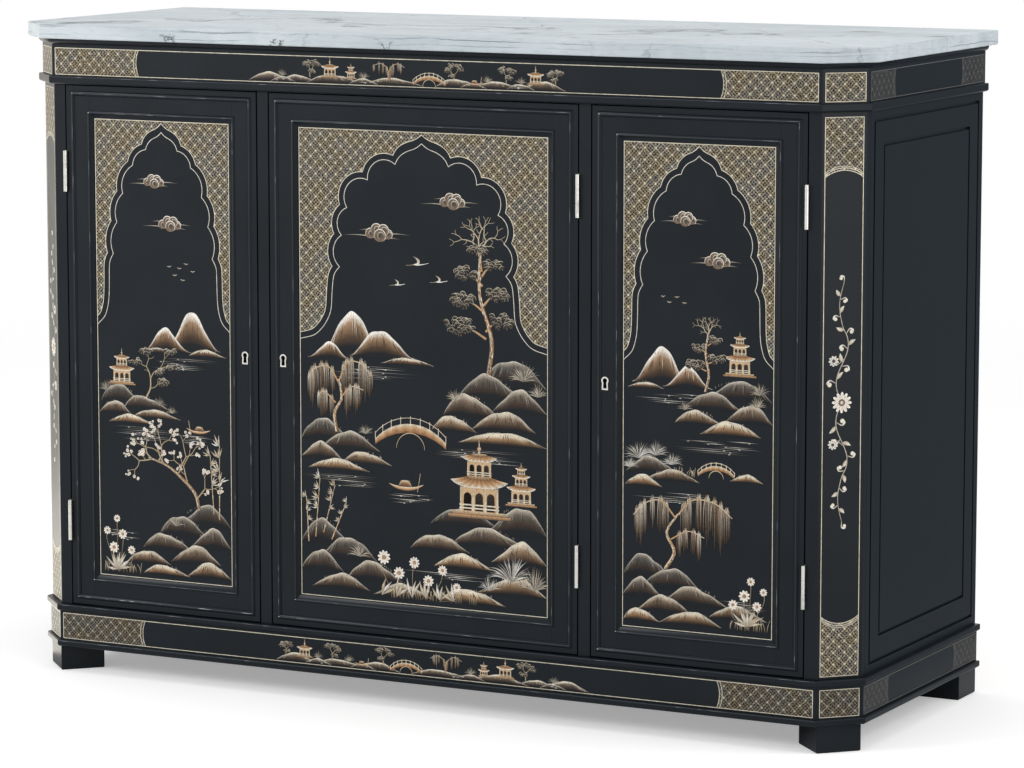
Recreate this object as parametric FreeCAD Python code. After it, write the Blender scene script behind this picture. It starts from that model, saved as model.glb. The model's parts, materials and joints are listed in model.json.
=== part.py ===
import FreeCAD, Part
import math
import os

from FreeCAD import Placement, Rotation, Vector

# Three-door lacquered cabinet with a marble slab on top.
# Millimetres, +Z up, +X to the right as seen from the front, the front faces -Y.
# The origin is on the floor, under the middle of the slab.

# Marble slab
TOP_WIDTH = 1430.0
TOP_DEPTH = 527.0
TOP_THICKNESS = 22.0
TOP_CANT = 63.0
TOP_EDGE_CHAMFER = 1.5
TOP_FRONT_OVERHANG = 22.0
TOP_SIDE_OVERHANG = 20.0

# Case, from the floor up to the slab
TOTAL_HEIGHT = 1016.0
FOOT_HEIGHT = 40.0
FOOT_MOULDING_HEIGHT = 10.0
PLINTH_FACE_HEIGHT = 47.0
PLINTH_TOP_MOULDING_HEIGHT = 10.5
WAIST_MOULDING_HEIGHT = 12.5
FRIEZE_FACE_HEIGHT = 49.0
CORNICE_HEIGHT = 9.0
CASE_CANT = 51.0
BODY_INSET = 3.0
BOARD_THICKNESS = 18.0
BACK_PANEL_THICKNESS = 8.0

# Mouldings on the frieze and the plinth
CORNICE_PROJECTION = 5.5
WAIST_PROJECTION = 6.0
PLINTH_MOULDING_PROJECTION = 5.5
MOULDING_FILLET = 1.5

# Feet
FOOT_SIZE = 69.0
FOOT_INSET = 1.0
FOOT_CHAMFER = 1.5

# Front: narrow door, mullion, wide door, mullion, narrow door
SIDE_DOOR_WIDTH = 339.0
MULLION_WIDTH = 19.0
POST_STRIP_WIDTH = 19.3
POST_RETURN = 12.0
DOOR_GAP = 2.0

# Door frame, panel and applied mouldings
DOOR_THICKNESS = 22.0
DOOR_MEMBER_WIDTH = 42.0
PANEL_THICKNESS = 9.0
PANEL_RECESS = 2.5
PANEL_TONGUE = 6.5
GROOVE_END_CLEARANCE = 0.5
GROOVE_SIDE_CLEARANCE = 0.1
EDGE_BEAD_MARGIN = 8.0
EDGE_BEAD_WIDTH = 8.0
EDGE_BEAD_HEIGHT = 2.5
PANEL_MOULDING_LAP = 4.0
PANEL_MOULDING_COVER = 6.5
PANEL_MOULDING_HEIGHT = 2.0
PANEL_MOULDING_NOSE = 3.0
PANEL_MOULDING_HOLLOW = 0.7
PANEL_MOULDING_LIP = 0.8

# Sides: a groove round the frame and another round the raised panel
SIDE_FRONT_MARGIN = 26.0
SIDE_BACK_MARGIN = 16.0
SIDE_END_MARGIN = 13.0
SIDE_GROOVE_WIDTH = 4.5
SIDE_GROOVE_DEPTH = 4.0
SIDE_BAND_WIDTH = 32.0
SIDE_PANEL_THICKNESS = 9.0

# Hinges
HINGE_HEIGHT = 63.5
HINGE_END_DISTANCE = 132.5
HINGE_BARREL_RADIUS = 3.25
HINGE_PIN_RADIUS = 1.6
HINGE_PIN_CLEARANCE = 0.05
HINGE_KNUCKLES = 3
HINGE_KNUCKLE_GAP = 0.3
HINGE_LEAF_THICKNESS = 1.6
HINGE_LEAF_DEPTH = 16.0
HINGE_LEAF_GAP = 0.4
HINGE_BARREL_CLEARANCE = 0.3

# Locks
LOCK_BACKSET = 22.0
LOCK_WIDTH = 33.0
LOCK_HEIGHT = 44.0
LOCK_THICKNESS = 11.0
LOCK_WALL = 2.5
BOLT_LENGTH = 14.0
BOLT_HEIGHT = 14.0
BOLT_THICKNESS = 5.0
BOLT_THROW = 8.0
BOLT_NOSE_CHAMFER = 0.8
BOLT_CLEARANCE = 0.3
STRIKE_CLEARANCE = 0.8
KEYHOLE_HEAD_RADIUS = 3.6
KEYHOLE_NECK_HALF = 2.3
KEYHOLE_FOOT_HALF = 2.9
KEYHOLE_DROP = 11.5
ESCUTCHEON_BAND = 2.2
ESCUTCHEON_STAND = 1.0
ESCUTCHEON_SEAT = 2.5

# Shelves, the battens under them, and door stops
SHELF_THICKNESS = 18.0
SHELF_HEIGHT = 400.0
SHELF_FRONT_SETBACK = 6.0
SHELF_END_CLEARANCE = 1.0
BATTEN_WIDTH = 12.0
BATTEN_HEIGHT = 20.0
STOP_LENGTH = 60.0
STOP_WIDTH = 14.0
STOP_DROP = 16.0
STOP_CLEARANCE = 0.5

# Levels
PLINTH_TOP = FOOT_HEIGHT + FOOT_MOULDING_HEIGHT + PLINTH_FACE_HEIGHT + PLINTH_TOP_MOULDING_HEIGHT
CASE_TOP = TOTAL_HEIGHT - TOP_THICKNESS
FRIEZE_BOTTOM = CASE_TOP - CORNICE_HEIGHT - FRIEZE_FACE_HEIGHT - WAIST_MOULDING_HEIGHT
CEILING = CASE_TOP - BOARD_THICKNESS

# Plan of the case: the frieze and plinth stand BODY_INSET proud of the body between them
CASE_HALF = TOP_WIDTH / 2 - TOP_SIDE_OVERHANG
CASE_FRONT = -TOP_DEPTH / 2 + TOP_FRONT_OVERHANG
CASE_BACK = TOP_DEPTH / 2
RING_THICKNESS = BODY_INSET + DOOR_THICKNESS
FACE_Y = CASE_FRONT + BODY_INSET
BODY_HALF = CASE_HALF - BODY_INSET
INNER_HALF = CASE_HALF - RING_THICKNESS
INNER_FRONT = CASE_FRONT + RING_THICKNESS
HALF_CANT_ANGLE = math.radians(22.5)
BODY_CORNER = CASE_HALF - CASE_CANT - BODY_INSET * math.tan(HALF_CANT_ANGLE)
POST_INNER = BODY_CORNER - POST_STRIP_WIDTH
POST_SIDE_START = CASE_FRONT + CASE_CANT + BODY_INSET * math.tan(HALF_CANT_ANGLE)
POST_END = POST_SIDE_START + POST_RETURN
BACK_PANEL_FRONT = CASE_BACK - BACK_PANEL_THICKNESS
MULLION_OUTER = POST_INNER - 2 * DOOR_GAP - SIDE_DOOR_WIDTH
MULLION_INNER = MULLION_OUTER - MULLION_WIDTH
PARTITION_INNER = (MULLION_OUTER + MULLION_INNER - BOARD_THICKNESS) / 2
PARTITION_OUTER = PARTITION_INNER + BOARD_THICKNESS

# Doors
DOOR_BOTTOM = PLINTH_TOP + DOOR_GAP
DOOR_TOP = FRIEZE_BOTTOM - DOOR_GAP
DOOR_BACK = FACE_Y + DOOR_THICKNESS
LOCK_LEVEL = (DOOR_BOTTOM + DOOR_TOP) / 2
HINGE_LEVELS = (DOOR_BOTTOM + HINGE_END_DISTANCE, DOOR_TOP - HINGE_END_DISTANCE)
HINGE_AXIS_Y = FACE_Y - HINGE_BARREL_RADIUS - HINGE_BARREL_CLEARANCE
BOLT_Y = DOOR_BACK - LOCK_THICKNESS / 2

# Each door: left edge, right edge, and which side the hinges are on (-1 left, +1 right)
DOORS = {
    "left": (-POST_INNER + DOOR_GAP, -MULLION_OUTER - DOOR_GAP, -1),
    "middle": (-MULLION_INNER + DOOR_GAP, MULLION_INNER - DOOR_GAP, 1),
    "right": (MULLION_OUTER + DOOR_GAP, POST_INNER - DOOR_GAP, 1),
}


def span_box(x_ends, y_ends, z_ends):
    """Box between two values on each axis, given in either order."""
    low = Vector(min(x_ends), min(y_ends), min(z_ends))
    size = Vector(max(x_ends), max(y_ends), max(z_ends)) - low
    return Part.makeBox(size.x, size.y, size.z, low)


def prism(points, bottom, top):
    """Upright solid over a plan outline of (x, y) points."""
    corners = [Vector(x, y, bottom) for x, y in points]
    face = Part.Face(Part.makePolygon(corners + corners[:1]))
    return face.extrude(Vector(0, 0, top - bottom))


def mirrored(shape):
    """The same piece on the other side of the cabinet."""
    return shape.mirror(Vector(0, 0, 0), Vector(1, 0, 0))


def pair(shape):
    """A right-hand piece and its left-hand twin."""
    return [shape, mirrored(shape)]


def on_front(shape):
    """Turn a piece drawn flat, x across and y up, onto the plane of the door faces."""
    turned = shape.copy()
    turned.Placement = Placement(Vector(0, FACE_Y, 0), Rotation(Vector(1, 0, 0), 90))
    return turned


def save(node, *solids):
    shape = solids[0] if len(solids) == 1 else Part.makeCompound(list(solids))
    shape.exportStep(f"parts/{node}.step")


# Paths, and pieces mitred along them

def canted_path(half_width, front, back, cant):
    """Plan path from the back left corner round the front to the back right; inside is on its left."""
    left = [(-half_width, back), (-half_width, front + cant), (-half_width + cant, front)]
    return [Vector(x, y, 0) for x, y in left + [(-x, y) for x, y in reversed(left)]]


def segment_normals(path, closed):
    ends = path[1:] + path[:1] if closed else path[1:]
    directions = [(end - start).normalize() for start, end in zip(path, ends)]
    return [Vector(-way.y, way.x, 0) for way in directions]


def offset_path(path, distance, closed=False):
    """Path moved to its left by a distance, mitred at its corners."""
    normals = segment_normals(path, closed)
    moved = []
    for index, point in enumerate(path):
        before = normals[index - 1] if closed or index > 0 else normals[0]
        after = normals[index] if index < len(normals) else normals[-1]
        moved.append(point + (before + after) * (distance / (1 + before.dot(after))))
    return moved


def profile_face(profile, base, across):
    """Face of a moulding's section. Each step is [point] for a line or [middle, end] for an arc,
    with points as (distance across, height)."""
    def place(point):
        return base + across * point[0] + Vector(0, 0, point[1])

    edges = []
    last = place(profile[0][-1])
    for step in profile[1:] + profile[:1]:
        end = place(step[-1])
        if len(step) == 2:
            edges.append(Part.Arc(last, place(step[0]), end).toShape())
        else:
            edges.append(Part.LineSegment(last, end).toShape())
        last = end
    return Part.Face(Part.Wire(edges))


def mitred_lengths(path, profile, closed=False):
    """One length of moulding for each straight stretch of a path, mitred where they meet."""
    points = [point for step in profile for point in step]
    reach = max(abs(point[0]) for point in points) + max(point[1] for point in points)
    heights = (min(point[1] for point in points) - reach, max(point[1] for point in points) + reach)
    left = offset_path(path, reach, closed)
    right = offset_path(path, -reach, closed)
    lengths = []
    for index, across in enumerate(segment_normals(path, closed)):
        after = (index + 1) % len(path)
        run = path[after] - path[index]
        lead = Vector(run).normalize() * reach * 2
        bar = profile_face(profile, path[index] - lead, across).extrude(run + lead * 2)
        corners = [right[index], right[after], left[after], left[index]]
        wedge = prism([(corner.x, corner.y) for corner in corners], *heights)
        wedge.translate(Vector(0, 0, path[index].z))
        lengths.append(bar.common(wedge).Solids[0])
    return lengths


CASE_PATH = canted_path(CASE_HALF, CASE_FRONT, CASE_BACK, CASE_CANT)
INNER_PATH = offset_path(CASE_PATH, RING_THICKNESS)


def plan_outline(path):
    return [(point.x, point.y) for point in path]


def ring_boards(bottom, top):
    """Left side, left cant, front, right cant and right side boards of the frieze or the plinth."""
    boards = []
    for index in range(len(CASE_PATH) - 1):
        corners = CASE_PATH[index:index + 2] + INNER_PATH[index:index + 2][::-1]
        boards.append(prism(plan_outline(corners), bottom, top))
    return boards


# Slab, frieze, plinth and their mouldings

def marble_top():
    path = canted_path(TOP_WIDTH / 2, -TOP_DEPTH / 2, TOP_DEPTH / 2, TOP_CANT)
    slab = prism(plan_outline(path), CASE_TOP, TOTAL_HEIGHT)
    level_edges = [edge for edge in slab.Edges if edge.BoundBox.ZLength < TOP_EDGE_CHAMFER]
    return slab.makeChamfer(TOP_EDGE_CHAMFER, level_edges)


def bead_profile(bottom, height, projection):
    """Round bead between two narrow fillets. Distances run inwards, so the bead is on the minus side."""
    top = bottom + height
    return [
        [(0, bottom)],
        [(-MOULDING_FILLET, bottom)],
        [(-projection, bottom + height / 2), (-MOULDING_FILLET, top)],
        [(0, top)],
    ]


def ovolo_profile(bottom, height, projection):
    """Quarter round that swells from a fillet below to its full projection at the top."""
    top = bottom + height
    swell = math.sin(math.radians(45))
    middle = (-MOULDING_FILLET - (projection - MOULDING_FILLET) * swell, top - height * swell)
    return [
        [(0, bottom)],
        [(-MOULDING_FILLET, bottom)],
        [middle, (-projection, top)],
        [(0, top)],
    ]


def save_frieze_and_plinth():
    plinth_mouldings = PLINTH_TOP - PLINTH_TOP_MOULDING_HEIGHT
    rings = (("frieze", FRIEZE_BOTTOM, CASE_TOP), ("plinth", FOOT_HEIGHT, PLINTH_TOP))
    for name, bottom, top in rings:
        left_side, left_cant, front, right_cant, right_side = ring_boards(bottom, top)
        save(f"{name}_front", front)
        save(f"{name}_cants", left_cant, right_cant)
        save(f"{name}_sides", left_side, right_side)
    cornice = ovolo_profile(CASE_TOP - CORNICE_HEIGHT, CORNICE_HEIGHT, CORNICE_PROJECTION)
    waist = bead_profile(FRIEZE_BOTTOM, WAIST_MOULDING_HEIGHT, WAIST_PROJECTION)
    upper = bead_profile(plinth_mouldings, PLINTH_TOP_MOULDING_HEIGHT, PLINTH_MOULDING_PROJECTION)
    lower = bead_profile(FOOT_HEIGHT, FOOT_MOULDING_HEIGHT, PLINTH_MOULDING_PROJECTION)
    save("cornice_moulding", *mitred_lengths(CASE_PATH, cornice))
    save("waist_moulding", *mitred_lengths(CASE_PATH, waist))
    save("plinth_top_moulding", *mitred_lengths(CASE_PATH, upper))
    save("plinth_foot_moulding", *mitred_lengths(CASE_PATH, lower))
    plinth_back_front = CASE_BACK - BOARD_THICKNESS
    inner = (-INNER_HALF, INNER_HALF)
    save("plinth_back", span_box(inner, (plinth_back_front, CASE_BACK), (FOOT_HEIGHT, PLINTH_TOP)))


def inner_board(bottom, back):
    """Horizontal board that fills the inside of the frieze or the plinth."""
    inner = canted_path(INNER_HALF, INNER_FRONT, back, INNER_PATH[1].y - INNER_FRONT)
    return prism(plan_outline(inner), bottom, bottom + BOARD_THICKNESS)


# Feet

def foot_block(centre_x, centre_y, turn):
    half = FOOT_SIZE / 2
    block = span_box((-half, half), (-half, half), (0, FOOT_HEIGHT))
    lower_edges = [edge for edge in block.Edges if edge.BoundBox.ZMax < FOOT_CHAMFER]
    block = block.makeChamfer(FOOT_CHAMFER, lower_edges)
    block.Placement = Placement(Vector(centre_x, centre_y, 0), Rotation(Vector(0, 0, 1), turn))
    return block


def save_feet():
    depth = (FOOT_SIZE / 2 + FOOT_INSET) * math.sin(math.radians(45))
    cant_x = CASE_HALF - CASE_CANT / 2
    cant_y = CASE_FRONT + CASE_CANT / 2
    save("front_feet", *pair(foot_block(cant_x - depth, cant_y + depth, 45)))
    inset = FOOT_SIZE / 2 + FOOT_INSET
    save("back_feet", *pair(foot_block(CASE_HALF - inset, CASE_BACK - inset, 0)))


# Hinges

def hinge_x(door):
    left, right, side = DOORS[door]
    return (right if side > 0 else left) + side * DOOR_GAP / 2


def hinge_gain(axis_x, level, side):
    """Shallow recess that a leaf lies in, cut into the wood on one side of a hinge."""
    depth = HINGE_LEAF_GAP / 2 + HINGE_LEAF_THICKNESS
    across = (axis_x, axis_x + side * depth)
    return span_box(
        across, (FACE_Y, FACE_Y + HINGE_LEAF_DEPTH), (level - HINGE_HEIGHT / 2, level + HINGE_HEIGHT / 2)
    )


def hinge_leaf(axis_x, level, side, first_knuckle):
    """Leaf with every second knuckle of the barrel, counted up from first_knuckle."""
    bottom = level - HINGE_HEIGHT / 2
    pitch = HINGE_HEIGHT / HINGE_KNUCKLES
    plate_start = HINGE_AXIS_Y + HINGE_BARREL_RADIUS + HINGE_BARREL_CLEARANCE
    near = axis_x + side * HINGE_LEAF_GAP / 2
    across = (near, near + side * HINGE_LEAF_THICKNESS)
    leaf = span_box(across, (plate_start, FACE_Y + HINGE_LEAF_DEPTH), (bottom, bottom + HINGE_HEIGHT))
    bore_radius = HINGE_PIN_RADIUS + HINGE_PIN_CLEARANCE
    for index in range(first_knuckle, HINGE_KNUCKLES, 2):
        low = bottom + index * pitch + HINGE_KNUCKLE_GAP / 2
        length = pitch - HINGE_KNUCKLE_GAP
        foot = Vector(axis_x, HINGE_AXIS_Y, low)
        barrel = Part.makeCylinder(HINGE_BARREL_RADIUS, length, foot)
        tongue = span_box(across, (HINGE_AXIS_Y, plate_start), (low, low + length))
        bore = Part.makeCylinder(bore_radius, length, foot)
        leaf = leaf.fuse(barrel.fuse(tongue).cut(bore))
    return leaf.removeSplitter()


def hinge_pin(axis_x, level):
    foot = Vector(axis_x, HINGE_AXIS_Y, level - HINGE_HEIGHT / 2)
    return Part.makeCylinder(HINGE_PIN_RADIUS, HINGE_HEIGHT, foot)


def with_gains(wood, door, side):
    """Wood with the recesses for one side of both hinges of a door."""
    for level in HINGE_LEVELS:
        wood = wood.cut(hinge_gain(hinge_x(door), level, side))
    return wood


def save_hinges():
    frame_leaves = []
    pins = []
    for door, (left, right, side) in DOORS.items():
        axis_x = hinge_x(door)
        door_leaves = [hinge_leaf(axis_x, level, -side, 1) for level in HINGE_LEVELS]
        frame_leaves += [hinge_leaf(axis_x, level, side, 0) for level in HINGE_LEVELS]
        pins += [hinge_pin(axis_x, level) for level in HINGE_LEVELS]
        save(f"{door}_door_hinge_leaves", *door_leaves)
    save("hinge_frame_leaves", *frame_leaves)
    save("hinge_pins", *pins)


# Locks

def lock_edge(door):
    """Edge of a door that its lock is on, and the way the bolt moves."""
    left, right, side = DOORS[door]
    return (left, -1) if side > 0 else (right, 1)


def keyhole_head(door):
    """Middle of a keyhole's round head, across and up."""
    edge, way = lock_edge(door)
    head_z = LOCK_LEVEL + (KEYHOLE_DROP + ESCUTCHEON_BAND - KEYHOLE_HEAD_RADIUS) / 2
    return edge - way * LOCK_BACKSET, head_z


def keyhole(door, grow, front, back):
    """Keyhole form between two depths, larger all round by grow. Its round head is above its slot."""
    centre_x, head_z = keyhole_head(door)
    depth = back - front
    head = Part.makeCylinder(
        KEYHOLE_HEAD_RADIUS + grow, depth, Vector(centre_x, front, head_z), Vector(0, 1, 0)
    )
    neck = KEYHOLE_NECK_HALF + grow
    foot = KEYHOLE_FOOT_HALF + grow
    low = head_z - KEYHOLE_DROP - grow
    corners = [(-neck, head_z), (-foot, low), (foot, low), (neck, head_z)]
    points = [Vector(centre_x + x, front, z) for x, z in corners]
    slot = Part.Face(Part.makePolygon(points + points[:1])).extrude(Vector(0, depth, 0))
    return head.fuse(slot).removeSplitter()


def lock_pocket(door):
    edge, way = lock_edge(door)
    return span_box(
        (edge, edge - way * LOCK_WIDTH),
        (DOOR_BACK - LOCK_THICKNESS, DOOR_BACK),
        (LOCK_LEVEL - LOCK_HEIGHT / 2, LOCK_LEVEL + LOCK_HEIGHT / 2),
    )


def bolt_space(edge, way, start, end, clearance):
    """Room for a bolt between two distances along its travel, measured outwards from the door edge."""
    half_thickness = BOLT_THICKNESS / 2 + clearance
    half_height = BOLT_HEIGHT / 2 + clearance
    return span_box(
        (edge + way * start, edge + way * end),
        (BOLT_Y - half_thickness, BOLT_Y + half_thickness),
        (LOCK_LEVEL - half_height, LOCK_LEVEL + half_height),
    )


def key_slot(door):
    """Plain slot in a lock case, open to the front, that the key goes into behind the keyhole."""
    centre_x, head_z = keyhole_head(door)
    return span_box(
        (centre_x - KEYHOLE_HEAD_RADIUS, centre_x + KEYHOLE_HEAD_RADIUS),
        (DOOR_BACK - LOCK_THICKNESS, DOOR_BACK - LOCK_WALL),
        (head_z - KEYHOLE_DROP, head_z + KEYHOLE_HEAD_RADIUS),
    )


def lock_case(door):
    edge, way = lock_edge(door)
    case = lock_pocket(door).cut(bolt_space(edge, way, -BOLT_LENGTH - BOLT_CLEARANCE, 0, BOLT_CLEARANCE))
    return case.cut(key_slot(door))


def lock_bolt(door):
    edge, way = lock_edge(door)
    bolt = bolt_space(edge, way, -BOLT_LENGTH, 0, 0)
    nose = edge - way * BOLT_NOSE_CHAMFER
    nose_edges = [line for line in bolt.Edges if all((end.X - nose) * way > 0 for end in line.Vertexes)]
    return bolt.makeChamfer(BOLT_NOSE_CHAMFER, nose_edges)


def escutcheon(door):
    front = FACE_Y - ESCUTCHEON_STAND
    back = FACE_Y + ESCUTCHEON_SEAT
    return keyhole(door, ESCUTCHEON_BAND, front, back).cut(keyhole(door, 0, front, back))


def strike_mortise(door):
    """Mortise in a mullion that the bolt of a closed door goes into."""
    edge, way = lock_edge(door)
    return bolt_space(edge, way, DOOR_GAP, BOLT_THROW + STRIKE_CLEARANCE, STRIKE_CLEARANCE)


# Body of the case

def front_post():
    """Right front post: a strip beside the door, the canted face and a return on the side."""
    plan = [
        (POST_INNER, FACE_Y),
        (BODY_CORNER, FACE_Y),
        (BODY_HALF, POST_SIDE_START),
        (BODY_HALF, POST_END),
        (INNER_HALF, POST_END),
        (POST_INNER, INNER_FRONT),
    ]
    return prism(plan, PLINTH_TOP, FRIEZE_BOTTOM)


def mullion(side, strikes):
    post = span_box(
        (side * MULLION_INNER, side * MULLION_OUTER), (FACE_Y, INNER_FRONT), (PLINTH_TOP, FRIEZE_BOTTOM)
    )
    for door in strikes:
        post = post.cut(strike_mortise(door))
    return post


def save_uprights():
    post = front_post()
    save("front_left_post", with_gains(mirrored(post), "left", -1))
    save("front_right_post", with_gains(post, "right", 1))
    left_mullion = mullion(-1, ("left", "middle"))
    right_mullion = with_gains(mullion(1, ("right",)), "middle", 1)
    save("mullions", left_mullion, right_mullion)
    partition = span_box(
        (PARTITION_INNER, PARTITION_OUTER), (INNER_FRONT, BACK_PANEL_FRONT), (PLINTH_TOP, CEILING)
    )
    save("partitions", *pair(partition))
    inner = (-INNER_HALF, INNER_HALF)
    save("back_panel", span_box(inner, (BACK_PANEL_FRONT, CASE_BACK), (PLINTH_TOP, CEILING)))


# Sides: frame and raised panel

SIDE_GROOVE_FRONT = POST_SIDE_START + SIDE_FRONT_MARGIN
SIDE_GROOVE_BACK = CASE_BACK - SIDE_BACK_MARGIN
SIDE_GROOVE_BOTTOM = PLINTH_TOP + SIDE_END_MARGIN
SIDE_GROOVE_TOP = FRIEZE_BOTTOM - SIDE_END_MARGIN
SIDE_FRAME_STEP = SIDE_GROOVE_WIDTH + SIDE_BAND_WIDTH
SIDE_TONGUE_FACE = BODY_HALF - SIDE_GROOVE_DEPTH


def side_opening(grow):
    """Y and Z ends of the frame's opening, larger all round by grow."""
    y_ends = (SIDE_GROOVE_FRONT + SIDE_FRAME_STEP - grow, SIDE_GROOVE_BACK - SIDE_FRAME_STEP + grow)
    z_ends = (SIDE_GROOVE_BOTTOM + SIDE_FRAME_STEP - grow, SIDE_GROOVE_TOP - SIDE_FRAME_STEP + grow)
    return y_ends, z_ends


def side_plough(z_ends):
    """Groove in the edges of the frame's opening, which holds the panel and the rails' tongues."""
    x_ends = (
        SIDE_TONGUE_FACE - SIDE_PANEL_THICKNESS - GROOVE_SIDE_CLEARANCE,
        SIDE_TONGUE_FACE + GROOVE_SIDE_CLEARANCE,
    )
    return span_box(x_ends, side_opening(PANEL_TONGUE + GROOVE_END_CLEARANCE)[0], z_ends)


def side_face_groove():
    x_ends = (SIDE_TONGUE_FACE, BODY_HALF)
    outside = span_box(
        x_ends, (SIDE_GROOVE_FRONT, SIDE_GROOVE_BACK), (SIDE_GROOVE_BOTTOM, SIDE_GROOVE_TOP)
    )
    inside = span_box(
        x_ends,
        (SIDE_GROOVE_FRONT + SIDE_GROOVE_WIDTH, SIDE_GROOVE_BACK - SIDE_GROOVE_WIDTH),
        (SIDE_GROOVE_BOTTOM + SIDE_GROOVE_WIDTH, SIDE_GROOVE_TOP - SIDE_GROOVE_WIDTH),
    )
    return outside.cut(inside)


def side_frame():
    """Two stiles and two rails of the right side; the rails' tongues sit in the stiles' grooves."""
    x_ends = (INNER_HALF, BODY_HALF)
    z_ends = (PLINTH_TOP, FRIEZE_BOTTOM)
    open_y, open_z = side_opening(0)
    groove_z = side_opening(PANEL_TONGUE + GROOVE_END_CLEARANCE)[1]
    face_groove = side_face_groove()
    members = []
    for y_ends in ((POST_END, open_y[0]), (open_y[1], CASE_BACK)):
        members.append(span_box(x_ends, y_ends, z_ends).cut(side_plough(z_ends)).cut(face_groove))
    tongue_x = (SIDE_TONGUE_FACE - SIDE_PANEL_THICKNESS, SIDE_TONGUE_FACE)
    tongue_y = (open_y[0] - PANEL_TONGUE, open_y[1] + PANEL_TONGUE)
    for edge, inner_edge, groove_floor in zip(z_ends, open_z, groove_z):
        rail = span_box(x_ends, open_y, (edge, inner_edge)).cut(side_plough(groove_z)).cut(face_groove)
        tongue = span_box(tongue_x, tongue_y, (edge, groove_floor))
        members.append(rail.fuse(tongue).removeSplitter())
    return members


def side_panel():
    """Panel with a tongue all round and a raised field, one groove's width inside the frame."""
    tongue_y, tongue_z = side_opening(PANEL_TONGUE)
    field_y, field_z = side_opening(-SIDE_GROOVE_WIDTH)
    back = SIDE_TONGUE_FACE - SIDE_PANEL_THICKNESS
    tongue = span_box((back, SIDE_TONGUE_FACE), tongue_y, tongue_z)
    field = span_box((back, BODY_HALF), field_y, field_z)
    return tongue.fuse(field).removeSplitter()


def save_sides():
    frame = side_frame()
    panel = side_panel()
    save("right_side_frame", *frame)
    save("right_side_panel", panel)
    save("left_side_frame", *[mirrored(member) for member in frame])
    save("left_side_panel", mirrored(panel))


# Shelves

SHELF_FRONT = POST_END + SHELF_FRONT_SETBACK
SHELF_BOTTOM = PLINTH_TOP + SHELF_HEIGHT


def shelf(x_ends):
    low, high = x_ends
    ends = (low + SHELF_END_CLEARANCE, high - SHELF_END_CLEARANCE)
    return span_box(ends, (SHELF_FRONT, BACK_PANEL_FRONT), (SHELF_BOTTOM, SHELF_BOTTOM + SHELF_THICKNESS))


def shelf_batten(wall_x, way):
    """Batten fixed to a wall at wall_x, which a shelf rests on; way points from the wall to the shelf."""
    x_ends = (wall_x, wall_x + way * BATTEN_WIDTH)
    return span_box(x_ends, (SHELF_FRONT, BACK_PANEL_FRONT), (SHELF_BOTTOM - BATTEN_HEIGHT, SHELF_BOTTOM))


def save_shelves():
    save("side_shelves", *pair(shelf((PARTITION_OUTER, INNER_HALF))))
    save("middle_shelf", shelf((-PARTITION_INNER, PARTITION_INNER)))
    battens = []
    for wall_x, way in ((PARTITION_INNER, -1), (PARTITION_OUTER, 1), (INNER_HALF, -1)):
        battens += pair(shelf_batten(wall_x, way))
    save("shelf_battens", *battens)


def save_door_stops():
    stops = []
    for left, right, side in DOORS.values():
        middle = (left + right) / 2
        stops.append(span_box(
            (middle - STOP_LENGTH / 2, middle + STOP_LENGTH / 2),
            (DOOR_BACK + STOP_CLEARANCE, DOOR_BACK + STOP_CLEARANCE + STOP_WIDTH),
            (DOOR_TOP - STOP_DROP, CEILING),
        ))
    save("door_stops", *stops)


# Doors

def door_opening(door, grow):
    """X and Z ends of the opening in a door's frame, larger all round by grow."""
    left, right, side = DOORS[door]
    inset = DOOR_MEMBER_WIDTH - grow
    return (left + inset, right - inset), (DOOR_BOTTOM + inset, DOOR_TOP - inset)


def door_plough(door, z_ends):
    """Groove in the edges of the frame's opening, which holds the panel and the rails' tongues."""
    y_ends = (
        FACE_Y + PANEL_RECESS - GROOVE_SIDE_CLEARANCE,
        FACE_Y + PANEL_RECESS + PANEL_THICKNESS + GROOVE_SIDE_CLEARANCE,
    )
    return span_box(door_opening(door, PANEL_TONGUE + GROOVE_END_CLEARANCE)[0], y_ends, z_ends)


def door_stiles(door):
    """Two stiles: one with recesses for the hinge leaves, one with the lock's pocket and keyhole."""
    left, right, side = DOORS[door]
    open_x = door_opening(door, 0)[0]
    y_ends = (FACE_Y, DOOR_BACK)
    z_ends = (DOOR_BOTTOM, DOOR_TOP)
    stile_plough = door_plough(door, z_ends)
    left_stile = span_box((left, open_x[0]), y_ends, z_ends).cut(stile_plough)
    right_stile = span_box((open_x[1], right), y_ends, z_ends).cut(stile_plough)
    hinge_stile, lock_stile = (right_stile, left_stile) if side > 0 else (left_stile, right_stile)
    lock_stile = lock_stile.cut(lock_pocket(door))
    lock_stile = lock_stile.cut(keyhole(door, ESCUTCHEON_BAND, FACE_Y, FACE_Y + ESCUTCHEON_SEAT))
    lock_stile = lock_stile.cut(keyhole(door, 0, FACE_Y, DOOR_BACK))
    return [with_gains(hinge_stile, door, -side), lock_stile]


def door_rails(door):
    """Bottom and top rails, with tongues that sit in the stiles' grooves."""
    open_x, open_z = door_opening(door, 0)
    groove_z = door_opening(door, PANEL_TONGUE + GROOVE_END_CLEARANCE)[1]
    tongue_x = (open_x[0] - PANEL_TONGUE, open_x[1] + PANEL_TONGUE)
    tongue_y = (FACE_Y + PANEL_RECESS, FACE_Y + PANEL_RECESS + PANEL_THICKNESS)
    rails = []
    for edge, inner_edge, groove_floor in zip((DOOR_BOTTOM, DOOR_TOP), open_z, groove_z):
        rail = span_box(open_x, (FACE_Y, DOOR_BACK), (edge, inner_edge)).cut(door_plough(door, groove_z))
        tongue = span_box(tongue_x, tongue_y, (edge, groove_floor))
        rails.append(rail.fuse(tongue).removeSplitter())
    return rails


def door_panel(door):
    x_ends, z_ends = door_opening(door, PANEL_TONGUE)
    face = FACE_Y + PANEL_RECESS
    return span_box(x_ends, (face, face + PANEL_THICKNESS), z_ends)


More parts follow.
